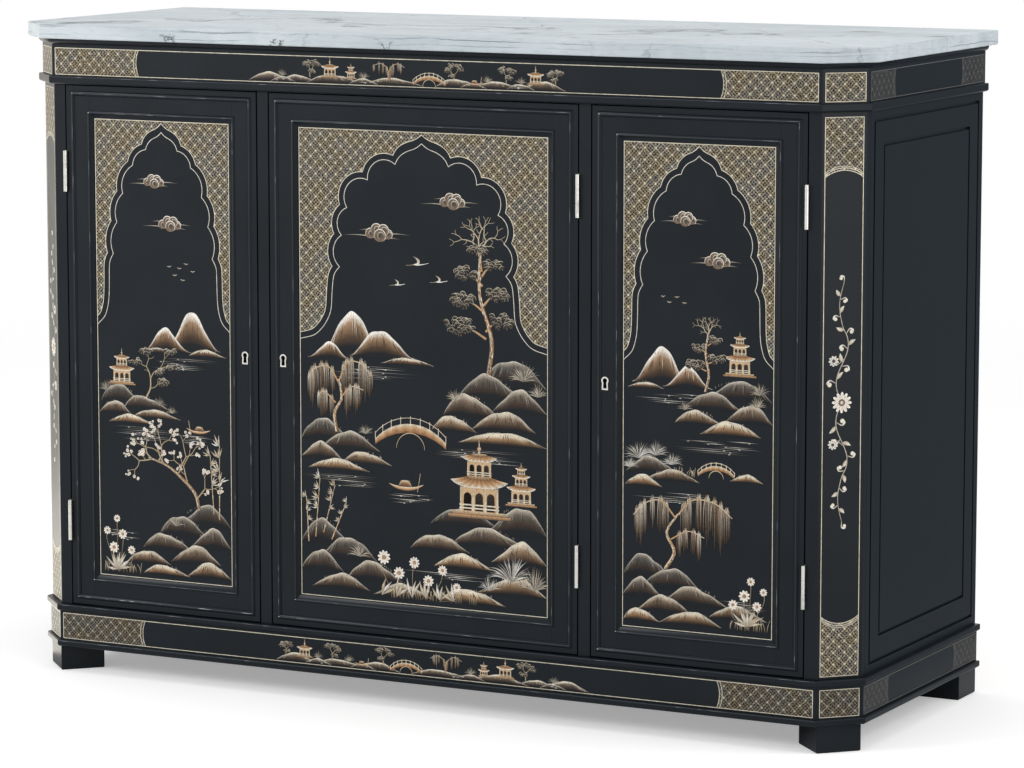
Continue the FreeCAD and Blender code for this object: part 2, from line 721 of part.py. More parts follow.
def door_path(door):
    """Outer edge of a door as a closed path on its face; inside is on its left."""
    left, right, side = DOORS[door]
    corners = [(left, DOOR_BOTTOM), (right, DOOR_BOTTOM), (right, DOOR_TOP), (left, DOOR_TOP)]
    return [Vector(x, z, 0) for x, z in corners]


def edge_bead_profile():
    start = EDGE_BEAD_MARGIN
    end = start + EDGE_BEAD_WIDTH
    return [
        [(start, 0)],
        [((start + end) / 2, EDGE_BEAD_HEIGHT), (end, 0)],
    ]


def panel_moulding_profile():
    """Rebated moulding: it laps onto the frame, rises to a nose and sweeps down to the panel."""
    start = DOOR_MEMBER_WIDTH - PANEL_MOULDING_LAP
    end = DOOR_MEMBER_WIDTH + PANEL_MOULDING_COVER
    nose = (start + PANEL_MOULDING_NOSE, PANEL_MOULDING_HEIGHT)
    swell = math.sin(math.radians(45))
    rise = (nose[0] - PANEL_MOULDING_NOSE * swell, nose[1] - PANEL_MOULDING_HEIGHT * (1 - swell))
    toe = (end, PANEL_MOULDING_LIP - PANEL_RECESS)
    sweep = ((nose[0] + end) / 2, (nose[1] + toe[1]) / 2 - PANEL_MOULDING_HOLLOW)
    return [
        [(start, 0)],
        [rise, nose],
        [sweep, toe],
        [(end, -PANEL_RECESS)],
        [(DOOR_MEMBER_WIDTH, -PANEL_RECESS)],
        [(DOOR_MEMBER_WIDTH, 0)],
    ]


def save_doors():
    for door in DOORS:
        path = door_path(door)
        save(f"{door}_door_stiles", *door_stiles(door))
        save(f"{door}_door_rails", *door_rails(door))
        save(f"{door}_door_panel", door_panel(door))
        bead = mitred_lengths(path, edge_bead_profile(), closed=True)
        moulding = mitred_lengths(path, panel_moulding_profile(), closed=True)
        save(f"{door}_door_edge_bead", *[on_front(length) for length in bead])
        save(f"{door}_door_panel_moulding", *[on_front(length) for length in moulding])
        save(f"{door}_door_escutcheon", escutcheon(door))
        save(f"{door}_door_lock_case", lock_case(door))
        save(f"{door}_door_lock_bolt", lock_bolt(door))


def main():
    os.makedirs("parts", exist_ok=True)
    save("marble_top", marble_top())
    save("top_board", inner_board(CEILING, CASE_BACK))
    save("bottom_board", inner_board(PLINTH_TOP - BOARD_THICKNESS, CASE_BACK - BOARD_THICKNESS))
    save_frieze_and_plinth()
    save_feet()
    save_uprights()
    save_sides()
    save_shelves()
    save_door_stops()
    save_doors()
    save_hinges()


main()
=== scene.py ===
import functools
import json
import math
import random

import bpy
import numpy as np
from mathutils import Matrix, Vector


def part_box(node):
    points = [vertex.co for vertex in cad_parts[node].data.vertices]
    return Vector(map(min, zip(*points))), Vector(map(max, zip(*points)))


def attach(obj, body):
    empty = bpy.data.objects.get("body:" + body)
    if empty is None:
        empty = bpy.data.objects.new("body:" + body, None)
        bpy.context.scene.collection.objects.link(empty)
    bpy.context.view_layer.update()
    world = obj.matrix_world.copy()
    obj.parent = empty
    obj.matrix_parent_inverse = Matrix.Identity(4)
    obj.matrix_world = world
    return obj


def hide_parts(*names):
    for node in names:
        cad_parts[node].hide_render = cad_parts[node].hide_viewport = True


# Looks of a lacquered cabinet: marble slab, black lacquer, gilt lattice and lines, painted landscapes.
# Pieces are in metres in the frame's own axes; drawings are in millimetres on flat canvases.

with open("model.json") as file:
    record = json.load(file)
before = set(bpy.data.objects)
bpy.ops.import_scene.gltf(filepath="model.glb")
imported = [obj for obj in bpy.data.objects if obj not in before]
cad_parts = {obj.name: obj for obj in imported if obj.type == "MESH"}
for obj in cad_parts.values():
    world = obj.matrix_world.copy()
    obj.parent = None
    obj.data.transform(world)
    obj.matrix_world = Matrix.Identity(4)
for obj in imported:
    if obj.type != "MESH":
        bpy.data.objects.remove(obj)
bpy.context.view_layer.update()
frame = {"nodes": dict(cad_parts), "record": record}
NODES = frame["nodes"]
MM = 0.001


def srgb(red, green, blue):
    """Linear colour for display values from 0 to 255."""
    shares = [value / 255 for value in (red, green, blue)]
    return tuple(share / 12.92 if share <= 0.04045 else ((share + 0.055) / 1.055) ** 2.4 for share in shares)


def tinted(colour, share):
    return tuple(channel * share for channel in colour)


def blended(first, second, share):
    return tuple(start + (end - start) * share for start, end in zip(first, second))


def add_object(name, data):
    made = bpy.data.objects.new(name, data)
    bpy.context.scene.collection.objects.link(made)
    return made


# Palette
INK = srgb(17, 21, 25)
WHITE = srgb(250, 246, 236)
CREAM = srgb(234, 222, 198)
GOLD = srgb(208, 188, 154)
TAN = srgb(202, 157, 112)
RUST = srgb(142, 101, 70)
BROWN = srgb(88, 76, 66)
SMOKE = srgb(130, 124, 116)
LINE_GOLD = srgb(222, 214, 192)
LINE_SILVER = srgb(216, 211, 198)
# Dimmer line colour for the sides: partly duller gilt, partly painted shade, as the sides face away from the
# key light
LINE_DULL_AND_SHADED = srgb(104, 102, 98)


# Node trees

class Field:
    """A node's output. Arithmetic with it adds math nodes."""

    def __init__(self, nodes, socket):
        self.nodes = nodes
        self.socket = socket

    def __add__(self, other):
        return self.nodes.math("ADD", self, other)

    def __sub__(self, other):
        return self.nodes.math("SUBTRACT", self, other)

    def __mul__(self, other):
        return self.nodes.math("MULTIPLY", self, other)

    def __truediv__(self, other):
        return self.nodes.math("DIVIDE", self, other)

    def __abs__(self):
        return self.nodes.math("ABSOLUTE", self)


class Nodes:
    """A node tree, with short ways to add and join its nodes."""

    def __init__(self, tree):
        self.tree = tree

    def put(self, socket, value):
        if isinstance(value, Field):
            self.tree.links.new(value.socket, socket)
        elif socket.type == "RGBA" and len(value) == 3:
            socket.default_value = (*value, 1)
        else:
            socket.default_value = value

    def node(self, kind, inputs=None, output=0, **settings):
        """Add a node, fill its inputs and give one of its outputs."""
        made = self.tree.nodes.new("ShaderNode" + kind)
        for key, value in settings.items():
            setattr(made, key, value)
        for key, value in (inputs or {}).items():
            self.put(made.inputs[key], value)
        return Field(self, made.outputs[output])

    def math(self, operation, first, second=0.0):
        return self.node("Math", {0: first, 1: second}, operation=operation)

    def vector(self, operation, first, second=(0.0, 0.0, 0.0), output=0):
        return self.node("VectorMath", {0: first, 1: second}, output, operation=operation)

    def lowest(self, first, second):
        return self.math("MINIMUM", first, second)

    def highest(self, first, second):
        return self.math("MAXIMUM", first, second)

    def position(self):
        return self.node("TexCoord", output="Object")

    def stored(self, name, output):
        return self.node("Attribute", output=output, attribute_name=name)

    def noise(self, where, scale, detail=3.0, roughness=0.5, distortion=0.0):
        inputs = {"Vector": where, "Scale": scale, "Detail": detail}
        return self.node("TexNoise", {**inputs, "Roughness": roughness, "Distortion": distortion})

    def between(self, value, low, high, to_low=0.0, to_high=1.0):
        """Smooth step of a value between two bounds."""
        inputs = {"Value": value, "From Min": low, "From Max": high, "To Min": to_low, "To Max": to_high}
        return self.node("MapRange", inputs, interpolation_type="SMOOTHSTEP")

    def mix(self, share, first, second):
        return self.node("Mix", {0: share, 6: first, 7: second}, 2, data_type="RGBA")

    def bump(self, height, strength, distance):
        return self.node("Bump", {"Height": height, "Strength": strength, "Distance": distance})

    def parted(self, where):
        return [self.node("SeparateXYZ", {0: where}, axis) for axis in "XYZ"]

    def stretched(self, where, scale):
        return self.node("Mapping", {"Vector": where, "Scale": scale})


class Look(Nodes):
    """A material under construction."""

    def __init__(self, name):
        self.material = bpy.data.materials.new(name)
        self.material.use_nodes = True
        super().__init__(self.material.node_tree)
        self.surface = self.tree.nodes["Principled BSDF"]

    def surface_is(self, **values):
        for key, value in values.items():
            self.put(self.surface.inputs[key.replace("_", " ")], value)
        return self.material

    def ends_in(self, shader):
        self.put(self.tree.nodes["Material Output"].inputs["Surface"], shader)
        return self.material


# Materials

LACQUER_SHINE = 0.17
LACQUER_TONES = srgb(16, 21, 26), srgb(24, 30, 36)
LACQUER_RUB = srgb(62, 62, 62)


def lacquer_material():
    """Satin black lacquer: slight cloudiness, a few paler rubs and a fine brushed unevenness."""
    look = Look("lacquer")
    where = look.position()
    cloud = look.noise(where, scale=9.0, detail=4.0)
    rub = look.between(look.noise(where, scale=38.0, detail=6.0, roughness=0.7), 0.62, 0.80)
    return look.surface_is(
        Base_Color=look.mix(rub * 0.25, look.mix(cloud, *LACQUER_TONES), LACQUER_RUB),
        Roughness=look.node("Math", {0: cloud, 1: 0.14, 2: 0.27}, operation="MULTIPLY_ADD"),
        Specular_IOR_Level=LACQUER_SHINE,
        Normal=look.bump(look.noise(where, scale=260.0, detail=2.0), strength=0.05, distance=0.0006),
    )


# Each vein is a bent sheet through the slab: normal, distance from the origin, half width and strength
MARBLE_VEINS = (
    ((0.16, 1.0, 0.3), 0.480, 0.0045, 0.50),
    ((-0.10, 1.0, 0.2), 0.190, 0.0040, 0.45),
    ((0.30, 1.0, -0.2), -0.330, 0.0040, 0.50),
    ((0.45, 0.89, 0.0), -0.072, 0.0030, 0.60),
    ((0.76, 0.65, 0.0), -0.321, 0.0026, 0.95),
    ((0.82, 0.57, 0.0), 0.077, 0.0026, 0.95),
    ((0.70, 0.70, 0.0), 0.330, 0.0024, 0.70),
    ((0.004, 0.02, 1.0), 1.0065, 0.0008, 0.85),
    ((-0.003, 0.03, 1.0), 0.9945, 0.0008, 0.75),
    ((0.002, -0.02, 1.0), 1.0165, 0.0008, 0.80),
)
VEIN_SWAY = 0.12
EDGE_SWAY = 0.022
MARBLE_TONES = srgb(184, 194, 199), srgb(204, 212, 216)
MARBLE_MIST = srgb(168, 178, 184)
MARBLE_GRAIN = srgb(146, 157, 163)
MARBLE_LINE = srgb(96, 107, 112)
MARBLE_SPOTS = srgb(58, 69, 69)
# Places along the front edge where small dark greenish clusters show, and their reach
MARBLE_CLUSTERS = (-0.422, -0.231, -0.048)
CLUSTER_HEIGHT = 0.997
CLUSTER_REACH = 0.015
CLUSTER_RAGGED = 0.04
CRACK_WIDTH = 0.075


def marble_material():
    """Honed pale marble: grey clouds, thin broken veins along its length and small dark clusters."""
    look = Look("marble")
    where = look.position()
    along, across, up = look.parted(where)
    drift = look.noise(look.stretched(where, (1.0, 2.6, 2.6)), 2.2, 9.0, roughness=0.64, distortion=1.1)
    fine = look.noise(look.stretched(where, (1.0, 3.0, 3.0)), 13.0, 9.0, roughness=0.7, distortion=0.6)
    grain = look.noise(look.stretched(where, (1.0, 1.0, 6.0)), 42.0, 6.0, roughness=0.65)
    bend = look.noise(look.stretched(where, (1.0, 1.8, 1.8)), 5.5, 8.0, roughness=0.66)
    roll = look.noise(where, 4.0, 7.0, roughness=0.60)
    broken = look.noise(where, 9.0, 4.0)
    crack = look.noise(look.stretched(where, (1.0, 1.0, 1.5)), 85.0, 3.0, roughness=0.55)
    colour = look.mix(look.between(drift, 0.34, 0.66), *MARBLE_TONES)
    colour = look.mix(look.between(fine, 0.44, 0.72, 0.0, 0.22), colour, MARBLE_MIST)
    colour = look.mix(look.between(grain, 0.50, 0.66, 0.0, 0.26), colour, MARBLE_GRAIN)
    for index, (normal, distance, width, strength) in enumerate(MARBLE_VEINS):
        reach = along * normal[0] + across * normal[1] + up * normal[2]
        wave, sway = (roll, EDGE_SWAY) if normal[2] == 1.0 else (bend, VEIN_SWAY)
        off = reach - distance + (wave - 0.5) * sway
        worn = look.between(broken, 0.40 + 0.02 * (index % 3), 0.60, 0.15, 1.0)
        vein = look.between(abs(off), 0.0, width, strength, 0.0) * worn
        colour = look.mix(vein, colour, MARBLE_LINE)
    crack = look.between(abs(crack - 0.5), 0.0, CRACK_WIDTH, 1.0, 0.0)
    for place in MARBLE_CLUSTERS:
        drop = abs(up - CLUSTER_HEIGHT) * 1.4
        far = look.highest(abs(along - place), drop) + (fine - 0.5) * CLUSTER_RAGGED
        patch = look.between(far, 0.5 * CLUSTER_REACH, CLUSTER_REACH, 1.0, 0.0)
        colour = look.mix(patch * crack, colour, MARBLE_SPOTS)
    gloss = look.between(fine, 0.2, 0.8, 0.40, 0.50)
    return look.surface_is(Base_Color=colour, Specular_IOR_Level=0.22, Roughness=gloss)


def wood_material(name, dark, light, grain_along, gloss):
    """Stained wood with long grain and pores."""
    look = Look(name)
    where = look.stretched(look.position(), grain_along)
    grain = look.noise(where, scale=14.0, detail=8.0, roughness=0.62, distortion=0.6)
    pores = look.between(look.noise(where, scale=120.0, detail=4.0, roughness=0.7), 0.55, 0.72)
    colour = look.mix(look.between(grain, 0.3, 0.7), dark, light)
    return look.surface_is(
        Base_Color=look.mix(pores * 0.6, colour, tinted(dark, 0.4)),
        Roughness=look.between(grain, 0.2, 0.8, gloss, gloss + 0.15),
        Normal=look.bump(pores, strength=0.15, distance=0.0004),
        Specular_IOR_Level=0.35,
    )


def metal_material(name, colour, tarnish, gloss, lines):
    """Polished or brushed metal with a little tarnish."""
    look = Look(name)
    where = look.position()
    worn = look.between(look.noise(where, scale=55.0, detail=5.0, roughness=0.6), 0.42, 0.7)
    scratch = look.noise(look.stretched(where, lines), scale=900.0)
    return look.surface_is(
        Base_Color=look.mix(worn * 0.6, colour, tarnish),
        Metallic=1.0,
        Roughness=look.between(worn, 0.0, 1.0, gloss, gloss + 0.16),
        Normal=look.bump(scratch, strength=0.08, distance=0.0002),
    )


DRAWN_ROUGHNESS = 0.42


def paint_material():
    """Brushed paint: colours stored with the strokes, with uneven coverage and dry streaks."""
    look = Look("paint")
    where = look.stored("canvas", "Vector")
    streaked = look.noise(look.stretched(where, (1.0, 0.45, 1.0)), scale=0.45, detail=4.0, roughness=0.65)
    cover = look.between(look.noise(where, scale=0.9, detail=4.0, roughness=0.6), 0.42, 0.8, 0.0, 0.35)
    bare = look.highest(cover, look.between(streaked, 0.48, 0.68, 0.0, 0.5))
    colour = look.mix(bare, look.stored("paint", "Color"), INK)
    return look.surface_is(Base_Color=colour, Roughness=DRAWN_ROUGHNESS, Specular_IOR_Level=LACQUER_SHINE)


def gilt_material():
    """Hand-drawn gilt lines: the stroke's colour thins and darkens along the line."""
    look = Look("gilt")
    where = look.stored("canvas", "Vector")
    thin = look.noise(where, scale=0.11, detail=5.0, roughness=0.65)
    grain = look.noise(where, scale=1.3, roughness=0.6)
    colour = look.mix(look.between(thin, 0.40, 0.74, 0.0, 0.55), look.stored("paint", "Color"), SMOKE)
    colour = look.mix(look.between(grain, 0.5, 0.85, 0.0, 0.5), colour, BROWN)
    return look.surface_is(Base_Color=colour, Metallic=0.25, Roughness=DRAWN_ROUGHNESS)


LATTICE_PITCH = 17.2
LATTICE_SPLIT = 3.0
LATTICE_GROUNDS = srgb(44, 38, 31), srgb(42, 41, 40)
# Colours of the hatching, warm and cool, of the diagonals and of the stars
LATTICE_GOLD = srgb(196, 176, 140), srgb(184, 178, 166), srgb(206, 191, 156), srgb(240, 231, 206)
# Greys for the side lattice: partly duller gilt, partly painted shade of the sides
LATTICE_GREY_AND_SHADED = srgb(150, 146, 140), srgb(146, 147, 147), srgb(150, 148, 143), srgb(168, 166, 160)
# How strongly the ground, the hatching, the diagonals and the stars show
LATTICE_SHARES = 0.8, 0.85, 0.72, 0.9


def lattice_material(name, strength, colours):
    """Gilt diaper on black: crossed diagonals, a star at each crossing and fine cross-hatching between."""
    warm, cool, line_colour, star_colour = colours
    for_ground, for_hatching, for_lines, for_stars = (share * strength for share in LATTICE_SHARES)
    look = Look(name)
    flat = look.stored("canvas", "Vector")

    def shaken(scale, reach):
        """Drawing coordinates along both diagonals, with the unevenness of a hand."""
        shake = look.node("TexNoise", {"Vector": flat, "Scale": scale, "Detail": 2.0}, "Color")
        shift = look.vector("SUBTRACT", shake, (0.5, 0.5, 0.5))
        moved = look.vector("MULTIPLY", shift, (reach, reach, 0.0))
        across, up, _ = look.parted(look.vector("ADD", flat, moved))
        return (across + up) / LATTICE_PITCH, (across - up) / LATTICE_PITCH

    def off_line(value):
        """Distance from the nearest whole number, from 0 to 0.5."""
        return abs(look.math("FRACT", value + 100.5) - 0.5)

    one, two = (off_line(value) for value in shaken(0.10, 2.4))
    near, far = look.lowest(one, two), look.highest(one, two)
    fine = look.lowest(*(off_line(value * LATTICE_SPLIT) for value in shaken(0.22, 4.5)))
    main = look.between(near, 0.02, 0.075, 1.0, 0.0)
    hatch = look.between(fine, 0.06, 0.2, 1.0, 0.0)
    star = look.between(far, 0.02, 0.12, 1.0, 0.0)
    rays = look.between(abs(one - two), 0.0, 0.05, 1.0, 0.0) * look.between(far, 0.10, 0.26, 1.0, 0.0)
    speckle = look.between(look.noise(flat, scale=0.36, detail=5.0, roughness=0.75), 0.36, 0.62, 0.10, 1.0)
    patchy = look.between(look.noise(flat, scale=0.03, roughness=0.6), 0.36, 0.64)
    colour = look.mix(for_ground, INK, look.mix(patchy, *LATTICE_GROUNDS))
    colour = look.mix(hatch * speckle * for_hatching, colour, look.mix(patchy, warm, cool))
    colour = look.mix(main * speckle * for_lines, colour, line_colour)
    colour = look.mix(look.highest(star, rays) * for_stars, colour, star_colour)
    return look.surface_is(Base_Color=colour, Roughness=DRAWN_ROUGHNESS, Specular_IOR_Level=LACQUER_SHINE)


MATERIALS = {
    "marble": marble_material(),
    "lacquer": lacquer_material(),
    "interior": wood_material("interior", srgb(38, 27, 20), srgb(66, 46, 33), (1.0, 12.0, 12.0), 0.42),
    "backing": wood_material("backing", srgb(92, 66, 46), srgb(128, 96, 68), (12.0, 12.0, 1.0), 0.55),
    "nickel": metal_material("nickel", srgb(220, 218, 212), srgb(172, 169, 162), 0.22, (1.0, 1.0, 8.0)),
    "steel": metal_material("steel", srgb(168, 168, 166), srgb(116, 112, 106), 0.34, (8.0, 1.0, 1.0)),
}
PAINT = paint_material()
GILT = gilt_material()
LATTICE = lattice_material("lattice", 1.0, LATTICE_GOLD)
LATTICE_LOW = lattice_material("lattice_low", 0.56, LATTICE_GOLD)
# Dimmer grey copy for the sides: partly duller gilt, partly painted shade of the sides
LATTICE_DULL_AND_SHADED = lattice_material("lattice_dull_and_shaded", 0.36, LATTICE_GREY_AND_SHADED)

METALS = ("nickel", "steel")
EDGE_ROUNDING = 0.7 * MM
SHARP_ANGLE = math.radians(40)
WELD_DISTANCE = 0.002 * MM


def soften(piece):
    """Rounded edges, so that they catch the light."""
    weld = piece.modifiers.new("weld", "WELD")
    weld.merge_threshold = WELD_DISTANCE
    bevel = piece.modifiers.new("soft_edges", "BEVEL")
    bevel.width = EDGE_ROUNDING
    bevel.segments = 2
    bevel.limit_method = "ANGLE"
    bevel.angle_limit = SHARP_ANGLE
    bevel.harden_normals = True


def dress_frame():
    """Each frame node gets the material of its slot, and lacquer, stone and wood get softened edges."""
    slots = {row["node"]: row["material_slot"] for row in frame["record"]["subparts"]}
    for name, node in NODES.items():
        node.data.materials.clear()
        node.data.materials.append(MATERIALS[slots[name]])
        if slots[name] not in METALS:
            soften(node)


# Flat surfaces to draw on

FIRST_LEVEL = 0.06
SUNK = -0.03
THIN_RELIEF = 0.03


class Canvas:
    """Flat surface on a body. u runs to the right and v runs up, in millimetres from its origin."""

    def __init__(self, body, origin, right):
        self.body = body
        self.origin = np.array(origin, float)
        self.right = np.array(right, float)
        self.up = np.array((0.0, 0.0, 1.0))
        self.out = np.cross(self.right, self.up)
        self.level = FIRST_LEVEL

    def place(self, flat, lift):
        """Points in the frame for rows of (u, v) at a height above the surface."""
        offset = np.outer(flat[:, 0], self.right) + np.outer(flat[:, 1], self.up)
        return self.origin + MM * (offset + np.outer(lift, self.out))

    def next_level(self, relief):
        level = self.level
        self.level += relief
        return level


def walls(ring, drop):
    """Faces from a ring of points down to the ring that lies so many numbers later."""
    return [(first + drop, second + drop, second, first) for first, second in zip(ring, ring[1:] + ring[:1])]


@functools.lru_cache(maxsize=None)
def shell_faces(rows, columns):
    """Faces of a closed shell over a grid: its top, its underside and the walls round its edge."""
    count = rows * columns
    top = [[row * columns + column for column in range(columns)] for row in range(rows)]
    faces = []
    for row in range(rows - 1):
        for column in range(columns - 1):
            quad = (top[row][column], top[row][column + 1], top[row + 1][column + 1], top[row + 1][column])
            faces.append(quad)
            faces.append(tuple(index + count for index in reversed(quad)))
    rim = top[0] + [line[-1] for line in top[1:]] + top[-1][-2::-1] + [line[0] for line in top[-2:0:-1]]
    return faces + walls(rim, count)


@functools.lru_cache(maxsize=None)
def plate_faces(count):
    """Faces of a flat plate over a polygon: top, underside and walls."""
    ring = list(range(count))
    return [tuple(ring), tuple(index + count for index in reversed(ring))] + walls(ring, count)


@functools.lru_cache(maxsize=None)
def fan_faces(count):
    """Faces of a small shell with a middle point on top: middle 0, rim 1 to count, then the lower rim."""
    ring = list(range(1, count + 1))
    faces = [(0, first, second) for first, second in zip(ring, ring[1:] + ring[:1])]
    return faces + [tuple(index + count for index in reversed(ring))] + walls(ring, count)


def turns_left(points):
    """True if a closed outline of (u, v) points runs anticlockwise."""
    u, v = points[:, 0], points[:, 1]
    return float(np.sum(u * np.roll(v, -1) - v * np.roll(u, -1))) > 0


def make_piece(name, body, points, faces, material):
    """Mesh that rides on a body."""
    mesh = bpy.data.meshes.new(name)
    mesh.from_pydata(points.tolist(), [], faces)
    mesh.materials.append(material)
    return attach(add_object(name, mesh), body)


class Drawing:
    """Thin closed shells on one canvas, in the order they are drawn, made into one piece."""

    def __init__(self, canvas, name, relief=THIN_RELIEF, sunk=SUNK):
        self.canvas = canvas
        self.name = name
        self.relief = relief
        self.sunk = sunk
        self.level = canvas.next_level(relief)
        self.shells = []

    def sheet(self, grid, colours):
        """Shell over a grid of (u, v) points, with a colour for each point."""
        grid = np.asarray(grid, float)
        rows, columns = grid.shape[:2]
        rim = np.concatenate([grid[0], grid[1:, -1], grid[-1, -2::-1], grid[-2:0:-1, 0]])
        faces = shell_faces(rows, columns)
        if not turns_left(rim):
            faces = [face[::-1] for face in faces]
        flat = grid.reshape(-1, 2)
        shade = np.broadcast_to(np.asarray(colours, float), (rows, columns, 3)).reshape(-1, 3)
        self.shells.append((np.vstack([flat, flat]), np.vstack([shade, shade]), faces, len(flat)))

    def plate(self, outline):
        """Flat shell over a closed outline."""
        flat = np.asarray(outline, float)
        if not turns_left(flat):
            flat = flat[::-1]
        shade = np.tile(INK, (2 * len(flat), 1))
        self.shells.append((np.vstack([flat, flat]), shade, plate_faces(len(flat)), len(flat)))

    def fan(self, middle, rim, inner, outer):
        """Small shell from a middle point out to a rim."""
        if not turns_left(rim):
            rim = rim[::-1]
        shade = np.vstack([[inner], np.tile(outer, (2 * len(rim), 1))])
        self.shells.append((np.vstack([[middle], rim, rim]), shade, fan_faces(len(rim)), len(rim) + 1))

    def finish(self, material):
        """Make the piece, with its drawing coordinates and colours stored on its points."""
        points, faces = [], []
        start = 0
        for index, (flat, _, shell, under_from) in enumerate(self.shells):
            lift = np.full(len(flat), self.level + self.relief * (index + 1) / len(self.shells))
            lift[under_from:] = self.sunk
            points.append(self.canvas.place(flat, lift))
            faces += [tuple(index + start for index in face) for face in shell]
            start += len(flat)
        piece = make_piece(self.name, self.canvas.body, np.vstack(points), faces, material)
        flat = np.vstack([shell[0] for shell in self.shells])
        shade = np.vstack([shell[1] for shell in self.shells])
        where = piece.data.attributes.new("canvas", "FLOAT_VECTOR", "POINT")
        where.data.foreach_set("vector", np.column_stack([flat, np.zeros(start)]).ravel())
        colour = piece.data.color_attributes.new("paint", "FLOAT_COLOR", "POINT")
        colour.data.foreach_set("color", np.column_stack([shade, np.ones(start)]).ravel())
        return piece


# Curves and strokes

LEAST_WIDTH = 0.12


def smooth(points, steps=6):
    """Points of a smooth curve through the given points, with some steps to each stretch."""
    points = np.asarray(points, float)
    knots = np.vstack([2 * points[0] - points[1], points, 2 * points[-1] - points[-2]])
    share = np.linspace(0, 1, steps, endpoint=False)[:, None]
    stretches = []
    for before, start, end, after in zip(knots, knots[1:], knots[2:], knots[3:]):
        cubic = share * (3 * (start - end) + after - before)
        square = share * (2 * before - 5 * start + 4 * end - after + cubic)
        stretches.append(start + 0.5 * share * (end - before + square))
    return np.vstack(stretches + [points[-1:]])


def spread(values, along):
    """Values given at even spacing, read off at other shares of the way."""
    values = np.asarray(values, float)
    if values.ndim == 0:
        return np.full(len(along), float(values))
    knots = np.linspace(0, 1, len(values))
    if values.ndim == 1:
        return np.interp(along, knots, values)
    return np.column_stack([np.interp(along, knots, channel) for channel in values.T])


def normals_of(line):
    way = np.gradient(line, axis=0)
    way /= np.maximum(np.linalg.norm(way, axis=1), 1e-9)[:, None]
    return np.column_stack([-way[:, 1], way[:, 0]])


def ribbon(drawing, line, width, colour, rim=1.0):
    """Stroke along a line that is already smooth. Widths and colours are spread along it."""
    along = np.linspace(0, 1, len(line))
    side = normals_of(line) * np.maximum(spread(width, along), LEAST_WIDTH)[:, None] / 2
    middle = spread(np.atleast_2d(colour), along)
    grid = np.stack([line + side, line, line - side], axis=1)
    drawing.sheet(grid, np.stack([middle * rim, middle, middle * rim], axis=1))


def stroke(drawing, path, width, colour, rim=0.65, steps=5):
    ribbon(drawing, smooth(path, steps), width, colour, rim)


def straight(first, second, length=40.0):
    """Points along a straight line, close enough for its colour to vary."""
    first, second = np.asarray(first, float), np.asarray(second, float)
    count = max(2, int(np.linalg.norm(second - first) / length) + 1)
    return first + np.outer(np.linspace(0, 1, count), second - first)


def arc_points(u, v, radius, start, end, count=12):
    angles = np.radians(np.linspace(start, end, count))
    return np.column_stack([u + radius * np.cos(angles), v + radius * np.sin(angles)])


def bulged(first, second, bulge, count=12):
    """Circular arc between two points that swells to the left of the way by a share of its length."""
    first, second = np.asarray(first, float), np.asarray(second, float)
    chord = second - first
    side = np.array([-chord[1], chord[0]])
    half_angle = 2 * math.atan(2 * abs(bulge))
    turn = np.linspace(-half_angle, half_angle, count)
    reach = 0.5 / math.sin(half_angle)
    along = 0.5 + reach * np.sin(turn)
    height = math.copysign(1, bulge) * reach * (np.cos(turn) - math.cos(half_angle))
    return first + np.outer(along, chord) + np.outer(height, side)


dress_frame()


# Square mouldings on the frieze and the plinth

EASED_TOP = 1.0
EASED_FOOT = 2.4
HALF_CANT = math.tan(math.radians(22.5))
# Each moulding and the boards it runs round
SQUARE_MOULDINGS = {
    "waist_moulding": "frieze",
    "plinth_top_moulding": "plinth",
    "plinth_foot_moulding": "plinth",
}


def square_moulding(name, boards):
    """Moulding with a flat face, mitred round the cants, in place of a frame node's rounded one."""
    low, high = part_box(name)
    front_low, front_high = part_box(f"{boards}_front")
    side_low, side_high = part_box(f"{boards}_sides")
    reach, top, foot = high.x - side_high.x, EASED_TOP * MM, EASED_FOOT * MM
    profile = [(0, low.z), (reach - foot, low.z), (reach, low.z + foot)]
    profile += [(reach, high.z - top), (reach - top, high.z), (0, high.z)]
    rows = []
    for out, level in profile:
        right = [
            (front_high.x + out * HALF_CANT, front_low.y - out, level),
            (side_high.x + out, side_low.y - out * HALF_CANT, level),
            (side_high.x + out, high.y, level),
        ]
        rows.append([(-x, y, z) for x, y, z in reversed(right)] + right)
    points = np.array(rows).transpose(1, 0, 2)
    stations, count = points.shape[:2]
    last = count * (stations - 1)
    faces = [tuple(range(count)), tuple(range(last + count - 1, last - 1, -1))]
    for start in range(0, last, count):
        for first in range(start, start + count):
            second = start + (first + 1 - start) % count
            faces.append((first, first + count, second + count, second))
    piece = make_piece(f"{name}_lengths", "case", points.reshape(-1, 3), faces, MATERIALS["lacquer"])
    soften(piece)
    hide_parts(name)


for moulding, boards in SQUARE_MOULDINGS.items():
    square_moulding(moulding, boards)


# Gilt lines and lattice

LINE = 1.0
LINE_INSET = 1.8
ARCH_GAP = 9.5
ARCH_SLACK = 1.5
ARCH_STEPS = 14
APEX_DROP = 18.5
MOULDING_WIDTH = 10.5
MIRROR = (-1, 1)
OGEE_SHAPE = [(0.0, 0.0), (0.12, 0.13), (0.29, 0.26), (0.58, 0.40), (0.79, 0.58), (0.92, 0.78), (1.0, 1.0)]
